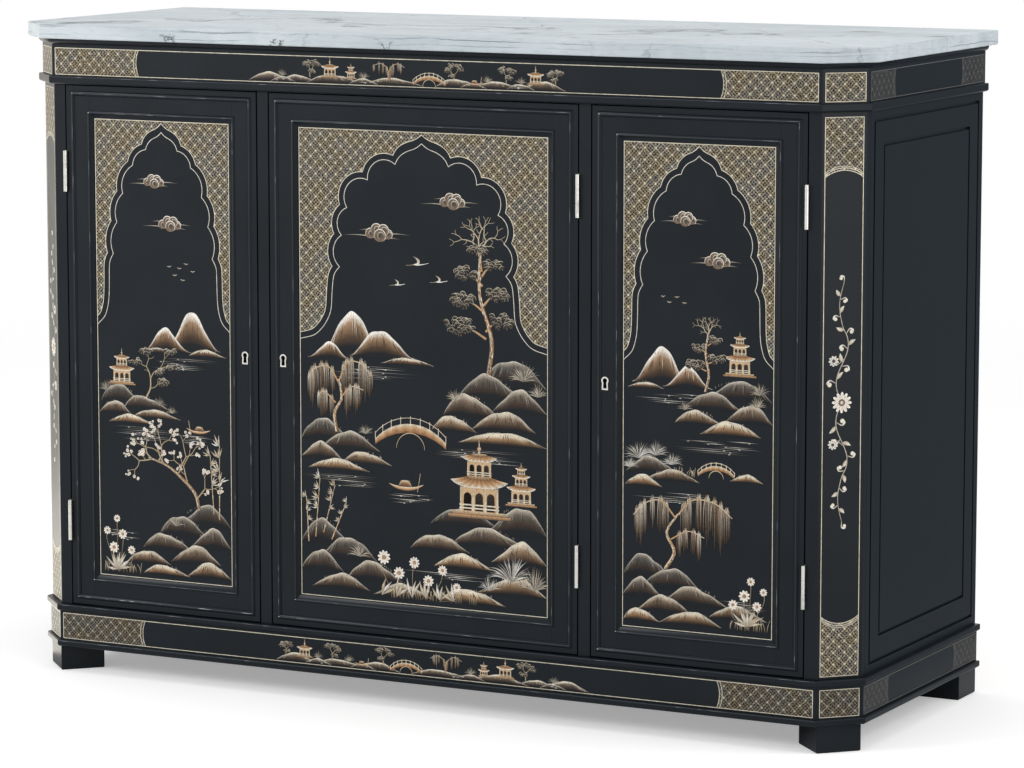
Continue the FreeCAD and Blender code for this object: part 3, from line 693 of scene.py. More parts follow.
# Measures of each arch: half widths and drops below the panel's top for its cusps and its foot
NARROW_ARCH = {
    "outer_drop": 4.8,
    "cusps": [(28.3, 46.0), (52.0, 71.0), (70.4, 115.0), (81.5, 160.0), (88.8, 208.5)],
    "bulges": [0.18, 0.18, 0.165, 0.15],
    "foot": (119.0, 320.0),
    "foot_shape": [(0.0, 0.0), (0.18, 0.09), (0.25, 0.18), (0.27, 0.45), (0.30, 0.62), (0.38, 0.75),
                   (0.57, 0.885), (1.0, 1.0)],
}
WIDE_ARCH = {
    "outer_drop": 5.5,
    "cusps": [(44.7, 51.0), (91.8, 76.0), (127.3, 119.0), (136.9, 161.0), (140.4, 208.6)],
    "bulges": [0.33, 0.37, 0.27, 0.26],
    "foot": (209.2, 321.0),
    "foot_shape": [(0.0, 0.0), (0.11, 0.08), (0.16, 0.17), (0.19, 0.35), (0.22, 0.58), (0.31, 0.72),
                   (0.45, 0.84), (0.65, 0.94), (1.0, 1.0)],
}


def shaped(shape, start, end):
    """Smooth curve of a given shape, stretched between two points."""
    start, end = np.asarray(start, float), np.asarray(end, float)
    return smooth(start + np.array(shape) * (end - start), 4)


def half_arch(arch, top):
    """Lobes of the right half of a scalloped arch, from its point down to the frame line."""
    cusps = [np.array((across, top - drop)) for across, drop in arch["cusps"]]
    lobes = [shaped(OGEE_SHAPE, (0.0, top - APEX_DROP), cusps[0])]
    for first, second, bulge in zip(cusps, cusps[1:], arch["bulges"]):
        lobes.append(bulged(first, second, bulge, ARCH_STEPS))
    across, drop = arch["foot"]
    lobes.append(shaped(arch["foot_shape"], cusps[-1], (across, top - drop)))
    return lobes


def trimmed(first, second):
    """Two lines cut off where the first crosses the second."""
    steps, others = np.diff(first, axis=0)[:, None], np.diff(second, axis=0)[None]
    between = second[None, :-1] - first[:-1, None]
    slant = steps[..., 0] * others[..., 1] - steps[..., 1] * others[..., 0]
    slant = np.where(np.abs(slant) < 1e-9, 1e-9, slant)
    along = (between[..., 0] * others[..., 1] - between[..., 1] * others[..., 0]) / slant
    beside = (between[..., 0] * steps[..., 1] - between[..., 1] * steps[..., 0]) / slant
    hits = np.argwhere((along >= 0) & (along <= 1) & (beside >= 0) & (beside <= 1))
    if len(hits) == 0:
        return first, second
    at, past = hits[0]
    point = first[at] + along[at, past] * steps[at, 0]
    return np.vstack([first[:at + 1], [point]]), np.vstack([[point], second[past + 1:]])


def outer_arch(lobes, arch, reach, top):
    """The arch's second line, a gap further out, with a point of its own. It ends at the frame line."""
    both = np.vstack(lobes + [lobe * MIRROR for lobe in lobes])
    lines = []
    for lobe in lobes:
        fine = smooth(lobe, 4)
        line = fine + normals_of(fine) * ARCH_GAP
        nearest = np.min(np.linalg.norm(line[:, None] - both[None], axis=2), axis=1)
        lines.append(line[(nearest > ARCH_GAP - ARCH_SLACK) & (line[:, 0] < reach)])
    for index in range(len(lines) - 1):
        lines[index], lines[index + 1] = trimmed(lines[index], lines[index + 1])
    lines[0] = shaped(OGEE_SHAPE, (0.0, top - arch["outer_drop"] + LINE_INSET), lines[1][0])
    return lines


def gilt_frame(drawing, left, right, low, high, width=LINE):
    half = width / 2
    for side in (left, right):
        ribbon(drawing, straight((side, low - half), (side, high + half)), width, LINE_GOLD)
    for level in (low, high):
        ribbon(drawing, straight((left, level), (right, level)), width, LINE_GOLD)


def door_canvas(side):
    """Painted panel of a door, from the middle of its lower edge, with its half width and its height."""
    low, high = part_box(f"{side}_door_panel_moulding")
    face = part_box(f"{side}_door_panel")[0].y
    inset = MOULDING_WIDTH * MM
    middle = (low.x + high.x) / 2
    canvas = Canvas(f"{side}_door", (middle, face, low.z + inset), (1, 0, 0))
    return canvas, (high.x - middle - inset) / MM, (high.z - low.z - 2 * inset) / MM


def arch_decoration(side, canvas, half, height):
    """Lattice in the spandrels, the double scalloped line and the frame line round the panel."""
    arch = WIDE_ARCH if side == "middle" else NARROW_ARCH
    edge, top, bottom = half - LINE_INSET, height - LINE_INSET, LINE_INSET
    lobes = half_arch(arch, height)
    outer = outer_arch(lobes, arch, edge, top)
    lattice = Drawing(canvas, f"{side}_door_lattice")
    line = np.vstack(outer)
    spandrel = np.vstack([line, [(edge, line[-1, 1]), (edge, top), (0.0, top)]])
    lattice.plate(spandrel)
    lattice.plate(spandrel * MIRROR)
    lattice.finish(LATTICE)
    gilt = Drawing(canvas, f"{side}_door_gilt_lines")
    for mirror in ((1, 1), MIRROR):
        for lobe in lobes:
            ribbon(gilt, lobe * mirror, LINE, LINE_SILVER)
        for lobe in outer:
            ribbon(gilt, lobe * mirror, LINE, LINE_GOLD)
    gilt_frame(gilt, -edge, edge, bottom, top)
    gilt.finish(GILT)


FRIEZE_LINES = (938.3, 978.9)
PLINTH_LINES = (52.9, 92.7)
CORNER_MARGIN = 5.5
FRONT_LATTICE = 151.0
SIDE_LATTICE = 93.0
END_BULGE = 0.11
END_GAPS = (0.0, 4.5)
BAND_LINE = 1.05


def lattice_end(lattice, gilt, start, end, lines, colour):
    """Lattice from a corner inward, whose inner end is hollowed by a curve with another line beside it."""
    low, high = lines
    way = math.copysign(1, end - start)
    curve = bulged((end, low), (end, high), END_BULGE * way, 10)
    lattice.plate(np.vstack([curve, [(start, high), (start, low)]]))
    ribbon(gilt, straight((start, low), (start, high)), BAND_LINE, colour)
    for gap in END_GAPS:
        ribbon(gilt, curve - (way * gap, 0), BAND_LINE * 0.8, colour)


def band_decoration(name, canvas, left, right, lines, length, look, colour):
    """Gilt lines along a board, with lattice at both ends."""
    lattice = Drawing(canvas, f"{name}_lattice")
    gilt = Drawing(canvas, f"{name}_gilt_lines")
    lattice_end(lattice, gilt, left, left + length, lines, colour)
    lattice_end(lattice, gilt, right, right - length, lines, colour)
    for level in lines:
        ribbon(gilt, straight((left, level), (right, level)), BAND_LINE, colour)
    lattice.finish(look)
    gilt.finish(GILT)


DIAGONAL = math.sqrt(0.5)


def cant_canvas(front, back, side):
    """Canvas on a canted corner between its front edge and its back edge, with its width."""
    width = math.dist(front, back) / MM
    if side == "right":
        return Canvas("case", (*front, 0), (DIAGONAL, DIAGONAL, 0)), width
    return Canvas("case", (*back, 0), (DIAGONAL, -DIAGONAL, 0)), width


def cant_square(name, side, lines, look):
    """Square of lattice on the canted board of the frieze or the plinth."""
    outer = 1 if side == "right" else 0
    front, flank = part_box(f"{name}_front"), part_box(f"{name}_sides")
    edges = (front[outer].x, front[0].y), (flank[outer].x, flank[0].y)
    canvas, width = cant_canvas(*edges, side)
    left, right = CORNER_MARGIN, width - CORNER_MARGIN
    low, high = lines
    lattice = Drawing(canvas, f"{side}_{name}_cant_lattice")
    lattice.plate([(left, low), (right, low), (right, high), (left, high)])
    lattice.finish(look)
    gilt = Drawing(canvas, f"{side}_{name}_cant_gilt_lines")
    gilt_frame(gilt, left, right, low, high, BAND_LINE)
    gilt.finish(GILT)


def band(name, lines, look):
    """All the gilding of the frieze or of the plinth. Returns the front canvas."""
    low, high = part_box(f"{name}_front")
    front = Canvas("case", (0, low.y, 0), (1, 0, 0))
    left, right = low.x / MM + CORNER_MARGIN, high.x / MM - CORNER_MARGIN
    band_decoration(f"{name}_front", front, left, right, lines, FRONT_LATTICE, look, LINE_GOLD)
    low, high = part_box(f"{name}_sides")
    near, far = low.y / MM + CORNER_MARGIN, high.y / MM - CORNER_MARGIN
    # The sides get the dimmer lattice and lines: partly duller gilt, partly painted shade
    dull_and_shaded = (lines, SIDE_LATTICE, LATTICE_DULL_AND_SHADED, LINE_DULL_AND_SHADED)
    band_decoration(f"{name}_right", Canvas("case", (high.x, 0, 0), (0, 1, 0)), near, far, *dull_and_shaded)
    band_decoration(f"{name}_left", Canvas("case", (low.x, 0, 0), (0, -1, 0)), -far, -near, *dull_and_shaded)
    for side in ("left", "right"):
        cant_square(name, side, lines, look)
    return front


POST_STRIP = 19.3
POST_RETURN = 12.0
POST_LINES = (112.0, 916.0)
POST_TOP_LATTICE = (831.0, 841.0)
POST_FOOT_LATTICE = (200.0, 189.0)
# Distance of each line from the arch across a post, and its width
POST_ARCH_LINES = ((0.0, LINE), (3.4, 0.9), (6.0, 0.7))


def arched_lattice(lattice, gilt, left, right, base, edge, middle):
    """Lattice between a straight line and an arched line across a post, with finer lines beside the arch."""
    curve = bulged((left, edge), (right, edge), (middle - edge) / (right - left))
    lattice.plate(np.vstack([curve, [(right, base), (left, base)]]))
    way = math.copysign(1, base - edge)
    for gap, width in POST_ARCH_LINES:
        ribbon(gilt, curve + (0, way * gap), width, LINE_GOLD)


def post_decoration(side):
    """Gilding of a canted post. Returns its canvas and the middle of its width."""
    low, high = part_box(f"front_{side}_post")
    strip, back = POST_STRIP * MM, high.y - POST_RETURN * MM
    if side == "right":
        canvas, width = cant_canvas((low.x + strip, low.y), (high.x, back), side)
    else:
        canvas, width = cant_canvas((high.x - strip, low.y), (low.x, back), side)
    left, right = CORNER_MARGIN, width - CORNER_MARGIN
    foot, top = POST_LINES
    lattice = Drawing(canvas, f"{side}_post_lattice")
    gilt = Drawing(canvas, f"{side}_post_gilt_lines")
    arched_lattice(lattice, gilt, left, right, top, *POST_TOP_LATTICE)
    arched_lattice(lattice, gilt, left, right, foot, *POST_FOOT_LATTICE)
    gilt_frame(gilt, left, right, foot, top, BAND_LINE)
    lattice.finish(LATTICE)
    gilt.finish(GILT)
    return canvas, width / 2


DOORS = {side: door_canvas(side) for side in ("left", "middle", "right")}
for side, (canvas, half, height) in DOORS.items():
    arch_decoration(side, canvas, half, height)
FRIEZE = band("frieze", FRIEZE_LINES, LATTICE)
PLINTH = band("plinth", PLINTH_LINES, LATTICE_LOW)
POSTS = {side: post_decoration(side) for side in ("left", "right")}


# Brushwork for the painted scenes

PAINT_RELIEF = 0.06
FOLIAGE_RELIEF = 0.12


class Brush(Drawing):
    """A drawing with its own run of chance, so that each motif varies but stays the same each time."""

    def __init__(self, canvas, name, seed, relief=PAINT_RELIEF, sunk=SUNK):
        super().__init__(canvas, name, relief, sunk)
        self.chance = random.Random(seed)

    def share(self):
        return self.chance.random()

    def between(self, low, high):
        return self.chance.uniform(low, high)

    def shift(self, size):
        return self.chance.uniform(-size, size)

    def about(self, value, share):
        return value * (1 + self.shift(share))

    def either_way(self):
        return self.chance.choice((-1, 1))

    def done(self):
        return self.finish(PAINT)


def ahead(start, angle, length):
    """Point at some length from another, in a direction given in degrees."""
    turn = math.radians(angle)
    return (start[0] + length * math.cos(turn), start[1] + length * math.sin(turn))


def placed(u, v, size, shape, way=1):
    """Points of a shape of unit size, put at a place and turned to the right or the left."""
    return np.array((u, v)) + size * np.array(shape) * (way, 1)


def washed(colours):
    """Colours for the rows of a sheet, the same across each row."""
    return np.array(colours)[:, None, :]


def disc(brush, u, v, radius, inner, outer, squash=1.0):
    rim = arc_points(0, 0, radius, 0, 345, 24) * (1, squash) + (u, v)
    brush.fan((u, v), rim, inner, outer)


def ring(brush, u, v, radius, start, end, width, colour):
    widths = [width * 0.3, width, width, width * 0.3]
    ribbon(brush, arc_points(u, v, radius, start, end, 14), widths, colour, 0.8)


# Land and water

MOUND_DEPTHS = np.array([0.0, 0.05, 0.13, 0.25, 0.40, 0.58, 0.78, 1.0])
SLOPE_STROKES = 5.0
SLOPE_FAN = 0.9
CREST_GRASS = 7.0
ROCK_HEIGHT = 0.8


def slope_strokes(brush, left, width, base, top, peak, crest, body):
    """Dark and light brush strokes that run from the crest of a hill down its sides."""
    shares = np.linspace(0, 1, len(top))
    light = [crest, blended(crest, body, 0.5), tinted(body, 0.4)]
    dark = [tinted(body, 0.45), tinted(body, 0.16), INK]
    for index in range(int(width / SLOPE_STROKES)):
        place = brush.between(0.08, 0.92)
        depth = np.linspace(brush.between(0.05, 0.25), brush.between(0.40, 0.72), 3)
        along = np.clip(place + SLOPE_FAN * (place - peak) * depth, 0.02, 0.98)
        path = np.column_stack([left + width * along, base + np.interp(along, shares, top) * (1 - depth)])
        if index % 3 == 2:
            stroke(brush, path, [0.3, 0.8, 0.2], light, 0.8, 2)
        else:
            stroke(brush, path, [0.3, 1.3, 0.3], dark, 1.2, 2)


def wave(brush, share, size, turns):
    return size * np.sin(math.tau * (turns * share + brush.share()))


def mound(brush, left, right, base, height, peak=0.45, form=1.05, crest=CREAM, body=TAN, glow=1.0):
    """Rock or hill: a lit crest that fades down into the ground, with brush strokes down its sides.
    The smaller the glow, the farther down the light reaches."""
    width = right - left
    share = np.linspace(0, 1, max(14, int(width / 3)))
    waves = wave(brush, share, 0.06, 1.7) + wave(brush, share, 0.025, 4.3)
    swell = np.sin(np.pi * share ** (math.log(0.5) / math.log(peak))) ** form
    top = np.maximum(height * swell * (1 + waves), 0.3)
    u = left + width * share
    depth = MOUND_DEPTHS[:, None] ** glow
    level = base - 0.07 * height * np.sin(np.pi * share) * depth + top * (1 - depth)
    tones = [crest, crest, blended(crest, body, 0.5), tinted(body, 0.80), tinted(body, 0.45)]
    tones += [tinted(blended(body, RUST, 0.5), 0.22), tinted(INK, 1.3), INK]
    beyond = np.clip((share - peak) / (1 - peak), 0, 1)
    before = np.clip((peak - share) / peak, 0, 1)
    turned = 1 - 0.5 * beyond ** 1.3 - 0.3 * before ** 1.3
    patches = 1 + wave(brush, share, 0.10, 2.6)
    shade = washed(tones) * (turned * patches)[None, :, None]
    brush.sheet(np.stack([np.broadcast_to(u, level.shape), level], axis=2), np.maximum(shade, INK))
    slope_strokes(brush, left, width, base, top, peak, crest, body)
    lit = blended(crest, WHITE, 0.5)
    rim = np.column_stack([u, base + top])
    ribbon(brush, rim, [0.4, 1.3, 0.4], [tinted(lit, 0.3), lit, tinted(lit, 0.3)])


def crest_grass(brush, left, right, base, height, tone):
    """Short blades along the top of a hill."""
    for _ in range(int((right - left) / CREST_GRASS)):
        share = brush.between(0.2, 0.8)
        u, v = left + (right - left) * share, base + 0.9 * height * math.sin(math.pi * share)
        tip = (u + brush.shift(2.0), v + brush.between(1.5, 4.0))
        stroke(brush, [(u, v), ((u + tip[0]) / 2, v + 1.5), tip], [0.5, 0.5, 0.2], tone, 0.8, 2)


def rocks(brush, rows, body=TAN):
    """Overlapping mounds, from the farthest, which are grey and dim, to the nearest, warm and bright.
    Each has its left and right end, its base, its height and the place of its peak."""
    for index, (left, right, base, height, peak) in enumerate(rows):
        near = (index + 1) / len(rows)
        tall = ROCK_HEIGHT * height
        lit = blended(tinted(SMOKE, 0.9), CREAM, 0.25 + 0.7 * near)
        tone = blended(tinted(SMOKE, 0.7), body, 0.7 * near ** 2)
        mound(brush, left, right, base, tall, peak, crest=lit, glow=1.4 - 0.82 * near, body=tone)
        crest_grass(brush, left, right, base, tall, blended(SMOKE, lit, 0.5))


def mountain(brush, left, right, base, height, peak):
    mound(brush, left, right, base, height, peak, 2.0, WHITE, blended(TAN, SMOKE, 0.35))


def water(brush, u, v, width, count, drop=2.6):
    """Horizontal glints of water below a shore."""
    for index in range(count):
        length = width * brush.between(0.25, 0.8)
        middle = u + brush.shift((width - length) / 2)
        level = v - drop * index
        shine = blended(SMOKE, WHITE, brush.share())
        crest = (middle, level + brush.shift(0.4))
        path = [(middle - length / 2, level), crest, (middle + length / 2, level)]
        stroke(brush, path, [0.2, brush.about(0.7, 0.3), 0.2], [INK, shine, INK], 0.7, 4)
        dab = middle + brush.shift(0.3 * length)
        path = [(dab - 2.2, level - 0.9), (dab, level - 0.8), (dab + 2.2, level - 0.9)]
        stroke(brush, path, [0.2, 1.1, 0.2], [SMOKE, WHITE, SMOKE], 0.8, 3)


# Sky

# Puffs of a cloud: place and radius. Streaks: side, height and length. All as shares of the cloud's size
CLOUD_PUFFS = [(-0.66, -0.04, 0.38), (0.64, -0.06, 0.36), (-0.22, 0.22, 0.44), (0.30, 0.20, 0.42)]
CLOUD_PUFFS += [(0.04, -0.16, 0.46)]
CLOUD_STREAKS = [(-1, 0.16, 1.3), (-1, -0.22, 2.1), (1, -0.04, 1.7), (1, -0.34, 1.1)]


def cloud(brush, u, v, size):
    """Curled cloud with long streaks on both sides."""
    for way, level, length in CLOUD_STREAKS:
        start = (u + way * 0.4 * size, v + size * level)
        reach = way * size * brush.about(length, 0.2)
        path = [start, (start[0] + 0.5 * reach, start[1] + 0.06 * size), (start[0] + reach, start[1])]
        stroke(brush, path, [1.5, 0.9, 0.2], [CREAM, blended(SMOKE, CREAM, 0.5), tinted(SMOKE, 0.4)], 0.7, 6)
    for across, up, share in CLOUD_PUFFS:
        x, y, radius = u + size * across, v + size * up, size * share
        disc(brush, x, y, radius, tinted(SMOKE, 0.2), blended(tinted(SMOKE, 0.5), TAN, 0.25), 0.86)
        ring(brush, x, y, radius * 0.92, -50, 200, 1.3, [CREAM, WHITE, CREAM])
        ring(brush, x + 0.08 * size, y, radius * 0.52, 10, 290, 1.1, [WHITE, tinted(SMOKE, 0.8)])


def flock(brush, size, places):
    """Small birds, each drawn as two wings."""
    for u, v in places:
        tilt = brush.shift(0.2)
        left = placed(u, v, size, [(-1, 0.35 + tilt), (-0.4, 0.4), (0, 0)])
        right = placed(u, v, size, [(0, 0), (0.4, 0.4), (1, 0.3 - tilt)])
        stroke(brush, left, [0.2, 0.8, 0.4], CREAM, 0.8, 3)
        stroke(brush, right, [0.4, 0.8, 0.2], CREAM, 0.8, 3)


CRANE_NECK = [(1.5, 0.25), (0.9, 0.1), (0.3, 0)]
CRANE_BODY = [(0.4, 0), (0, 0.04), (-0.5, -0.02)]
CRANE_WINGS = [(0.1, 0), (0.15, 0.5), (-0.55, 1.0)], [(0.1, 0), (0.15, 0.375), (0.1, 0.75)]
CRANE_LEGS = [(-0.4, 0), (-1.0, -0.1), (-1.5, -0.12)]


def crane(brush, u, v, size):
    """Flying crane: long neck, two wings and trailing legs."""
    stroke(brush, placed(u, v, size, CRANE_NECK), [0.5, 0.9, 1.6], WHITE, 0.7, 4)
    stroke(brush, placed(u, v, size, CRANE_BODY), [0.12 * size, 0.3 * size, 0.06 * size], WHITE, 0.6, 4)
    for wing in CRANE_WINGS:
        widths = [0.28 * size, 0.3 * size, 0.1]
        stroke(brush, placed(u, v, size, wing), widths, [WHITE, CREAM, tinted(SMOKE, 0.8)], 0.7, 5)
    stroke(brush, placed(u, v, size, CRANE_LEGS), [0.6, 0.5, 0.3], GOLD, 0.7, 3)


# Trees and plants

LEAF_SHARE = 0.85
NEEDLE_DROOP = 0.22
TUFT_STRANDS = 5
CANE_JOINTS = 6


def branch(brush, start, angle, length, width, forks, tips, colour=GOLD):
    """Twisting branch that forks. The tips it reaches are added to the list."""
    bend = brush.shift(20)
    middle = ahead(start, angle + bend, length * 0.5)
    end = ahead(middle, angle - 0.6 * bend, length * 0.5)
    widths = [width, width * 0.8, width * 0.6]
    stroke(brush, [start, middle, end], widths, [tinted(colour, 0.8), colour], 0.5, 4)
    if forks == 0:
        tips.append(end)
        return
    for turn in (-1, 1):
        way = angle + turn * brush.between(18, 48)
        branch(brush, end, way, length * brush.between(0.6, 0.82), width * 0.62, forks - 1, tips, colour)
    if forks > 1:
        way = angle + brush.either_way() * brush.between(40, 62)
        branch(brush, middle, way, length * 0.5, width * 0.45, forks - 2, tips, colour)


def trunk(brush, path, width):
    """Knotted trunk with light down one side and dabs of bark."""
    line = smooth(path, 6)
    widths = [width, width * 0.82, width * 0.62, width * 0.4]
    ribbon(brush, line, widths, [tinted(TAN, 0.5), TAN, blended(TAN, CREAM, 0.4)], 0.45)
    ribbon(brush, line + (-0.22 * width, 0), [0.35 * width, 0.2 * width, 0.15 * width], CREAM, 0.7)
    for low, high in zip(line[:-1], line[1:]):
        for tone in (WHITE, BROWN, CREAM, RUST):
            first = low + brush.share() * (high - low) + (brush.shift(0.3 * width), 0)
            dab = [first, first + 0.3 * (high - low), first + 0.6 * (high - low)]
            stroke(brush, dab, [0.2, 0.17 * width, 0.2], tone, 0.75, 2)


def fan_leaf(brush, u, v, radius, angle, inner, outer):
    """Fan leaf with a dark blade, a light rim and a rib."""
    rim = arc_points(u, v, radius, angle - 80, angle + 80, 9)
    tail = ahead((u, v), angle + 180, radius * 0.5)
    brush.fan(ahead((u, v), angle, radius * 0.3), np.vstack([rim, [tail]]), tinted(inner, 0.7), inner)
    ribbon(brush, rim, [0.3, 0.9, 0.3], outer, 0.8)
    ribbon(brush, straight(tail, rim[4]), [0.6, 0.2], [outer, inner], 0.8)


def pad(brush, u, v, width, height, count):
    """Clump of fan leaves that lap over each other downwards, brighter towards its top."""
    size = LEAF_SHARE * math.sqrt(width * height / count)
    turns = [(brush.between(0, math.tau), math.sqrt(brush.share())) for _ in range(count)]
    leaves = [(reach * math.sin(turn), reach * math.cos(turn)) for turn, reach in turns]
    for up, across in sorted(leaves, reverse=True):
        share = min(1.0, 0.2 + 0.25 * (up + 1) + brush.between(0, 0.4))
        place = (u + 0.5 * width * across, v + 0.5 * height * up)
        tones = blended(INK, BROWN, 0.35), blended(tinted(BROWN, 1.2), CREAM, share)
        fan_leaf(brush, *place, brush.about(size, 0.25), 90 + brush.shift(40), *tones)


def leafy_tree(brush, foot, angle, length, width, forks, leaves, every=1):
    """Forked tree with a pad of leaves on its tips."""
    tips = []
    branch(brush, foot, angle, length, width, forks, tips)
    for tip in tips[::every]:
        pad(brush, *tip, *leaves)


def needles(brush, u, v, radius, start, end, count, light=CREAM):
    """Radiating needles or palm blades that droop at their tips."""
    for index in range(count):
        angle = start + (end - start) * (index + 0.5) / count + brush.shift(3)
        reach = brush.about(radius, 0.18)
        tip = ahead((u, v - NEEDLE_DROOP * reach * abs(math.cos(math.radians(angle)))), angle, reach)
        knee = ahead((u, v), angle + brush.shift(4), reach * 0.55)
        shine = blended(SMOKE, light, brush.share())
        tones = [tinted(shine, 0.8), shine, tinted(shine, 0.35)]
        stroke(brush, [(u, v), knee, tip], [0.5, radius * 0.045, 0.2], tones, 0.6, 4)


def willow_limb(brush, path, width, tufts, drop):
    """Arching limb with tufts of thin leaves that spill over and hang."""
    line = smooth(path, 6)
    dark, light = blended(SMOKE, TAN, 0.6), blended(CREAM, WHITE, 0.4)
    for index in range(tufts):
        share = (index + brush.between(0.2, 0.8)) / tufts
        u, v = line[min(int((0.15 + 0.85 * share) * (len(line) - 1)), len(line) - 1)]
        length = drop * brush.between(0.6, 1.05) * (0.7 + 0.4 * math.sin(math.pi * share))
        spill = 0.065 * drop * brush.between(0.7, 1.1)
        for strand in range(TUFT_STRANDS):
            off = spill * (2 * strand / (TUFT_STRANDS - 1) - 1) + brush.shift(0.3)
            reach = length * (1 - 0.25 * abs(off) / spill) * brush.between(0.75, 1.0)
            crown = 0.12 * drop * (1 - 0.9 * (off / (1.2 * spill)) ** 2)
            hang = [(u, v), (u + 0.6 * off, v + crown)]
            hang += [(u + off, v - 0.35 * reach), (u + 1.05 * off, v - reach)]
            shine = blended(dark, light, brush.share())
            tones = [CREAM, shine, tinted(shine, 0.6), tinted(TAN, 0.3)]
            stroke(brush, hang, [0.7, 1.5, 1.1, 0.3], tones, 0.55, 4)
    ribbon(brush, line, [width, width * 0.7, width * 0.35], [TAN, GOLD, CREAM], 0.55)


def spray(brush, u, v, angle, count, length):
    """A few narrow leaves from one point."""
    for index in range(count):
        turn = angle + (index - (count - 1) / 2) * 24 + brush.shift(6)
        reach = brush.about(length, 0.2)
        path = [(u, v), ahead((u, v), turn + 5, reach * 0.5), ahead((u, v), turn, reach)]
        shine = blended(GOLD, WHITE, brush.share())
        tones = [tinted(shine, 0.5), shine, tinted(shine, 0.7)]
        stroke(brush, path, [0.4, length * 0.17, 0.2], tones, 0.5, 4)


def bamboo(brush, u, v, height, lean):
    """Jointed cane with sprays of narrow leaves."""
    for index in range(CANE_JOINTS):
        start, end = index / CANE_JOINTS, (index + 0.95) / CANE_JOINTS
        low, high = (u + lean * start, v + height * start), (u + lean * end, v + height * end)
        wide = 2.0 * (1 - 0.09 * index)
        ribbon(brush, straight(low, high, 6), [wide, wide * 0.8, wide], [TAN, GOLD, CREAM], 0.5)
        if index > 1:
            spray(brush, *high, brush.either_way() * brush.between(20, 70) + 90, 4, height * 0.14)


def blossom(brush, u, v, radius, petals=5, heart=TAN):
    """Open flower with rounded petals that are darker towards the heart."""
    turn = brush.shift(30)
    wide = 0.62 * radius * math.sin(math.pi / petals)
    oval = arc_points(0, 0, 1.0, 0, 315, 8) * (0.36 * radius, wide) + (0.64 * radius, 0)
    for index in range(petals):
        angle = turn + 360 * index / petals
        way = np.array(ahead((0, 0), angle, 1.0))
        side = np.array((-way[1], way[0]))
        rim = np.array((u, v)) + np.outer(oval[:, 0], way) + np.outer(oval[:, 1], side)
        brush.fan(ahead((u, v), angle, radius * 0.45), rim, blended(heart, WHITE, 0.45), WHITE)
    disc(brush, u, v, radius * 0.24, heart, tinted(heart, 0.7))


def grass(brush, u, v, width, count, height):
    for _ in range(count):
        foot = (u + brush.shift(width / 2), v + brush.shift(1.0))
        lean = brush.shift(0.5 * height)
        tip = (foot[0] + lean, v + brush.about(height, 0.3))
        path = [foot, (foot[0] + 0.3 * lean, v + 0.6 * height), tip]
        stroke(brush, path, [0.9, 0.6, 0.2], [tinted(BROWN, 0.8), GOLD, CREAM], 0.7, 3)


def flower_clump(brush, u, root, leaves, flowers):
    """Daisies on long stems from one root, with leaves spraying from a little higher."""
    for across, up, size in flowers:
        stroke(brush, [(u, root), (across, up - 18), (across, up)], [1.0, 0.8, 0.6], [BROWN, GOLD], 0.7, 4)
        blossom(brush, across, up, size, 9)
    for angle in (24, 52, 76, 104, 128, 156):
        spray(brush, u, leaves, angle, 2, 26)


def flower_row(brush, flowers, roots):
    """Daisies on stems that lean outwards along a bank, and leaves at their roots."""
    for across, up, size in flowers:
        path = [(across * 0.6 - 8, 10), (across - 3, up - 18), (across, up)]
        stroke(brush, path, [1.2, 0.9, 0.7], [BROWN, GOLD], 0.7, 4)
        blossom(brush, across, up, size, 10)
    for across in roots:
        spray(brush, across, 12, 90 + 0.6 * across, 3, 28)


def pine(brush, foot, top, width, pads):
    """Upright tree with bare upper twigs and layered pads of leaves."""
    foot, top = np.array(foot, float), np.array(top, float)
    way = top - foot
    knots = [foot, foot + 0.3 * way + (0.05 * way[1], 0), foot + 0.65 * way - (0.03 * way[1], 0), top]
    for angle in (62, 96, 128):
        branch(brush, tuple(top), angle, 0.13 * way[1], width * 0.4, 3, [], blended(GOLD, CREAM, 0.5))
    for across, up, wide in pads:
        root = foot + min(up, 0.92) * way
        place = (root[0] + across, foot[1] + up * way[1] + 0.03 * way[1])
        path = [root - 0.06 * way, (root[0] + 0.5 * across, place[1] - 4), place]
        stroke(brush, path, [width * 0.5, width * 0.3, 0.5], [TAN, GOLD], 0.6, 4)
        pad(brush, *place, wide, wide * 0.5, int(wide * 0.8))
    trunk(brush, knots, width)


def plum(brush, path, width, forks, blossoms):
    """Leaning tree with bare twigs and scattered blossom."""
    tips = []
    line = smooth(path, 6)
    for share, angle, length in forks:
        at = line[int(share * (len(line) - 1))]
        branch(brush, tuple(at), angle, length, width * 0.4, 2, tips)
    trunk(brush, path, width)
    for u, v in tips:
        for _ in range(blossoms):
            blossom(brush, u + brush.shift(5), v + brush.shift(5), brush.about(2.4, 0.3))


# Boats and buildings

BOAT_KEEL = [(-1.0, 0.22), (-0.6, 0.02), (0.0, -0.06), (0.6, 0.02), (1.05, 0.26)]
BOAT_RAIL = [(-1.1, 0.30), (-0.6, 0.20), (0.0, 0.16), (0.6, 0.20), (1.15, 0.36)]
BOAT_POLE = [(0.75, -0.1), (0.86, 0.45), (0.95, 1.0)]
BOAT_HOOPS = [(-0.2, 0.2), (-0.04, 0.2), (0.12, 0.2)]
ROOF_ROWS = np.array([0.0, 0.3, 0.65, 1.0])[:, None]
STRIPS = 17
# Places across a pavilion, as shares of its width, and of its rails, as shares of a storey's height
OPENINGS = (-0.27, 0.0, 0.27)
PILLARS = (-0.42, -0.14, 0.14, 0.42)
RAILS = (0.12, 0.26)


def striped(colours, dim):
    """Colours for the rows of a sheet of strips, every second strip dimmed."""
    return washed(colours) * np.where(np.arange(STRIPS) % 2 == 0, 1.0, dim)[None, :, None]


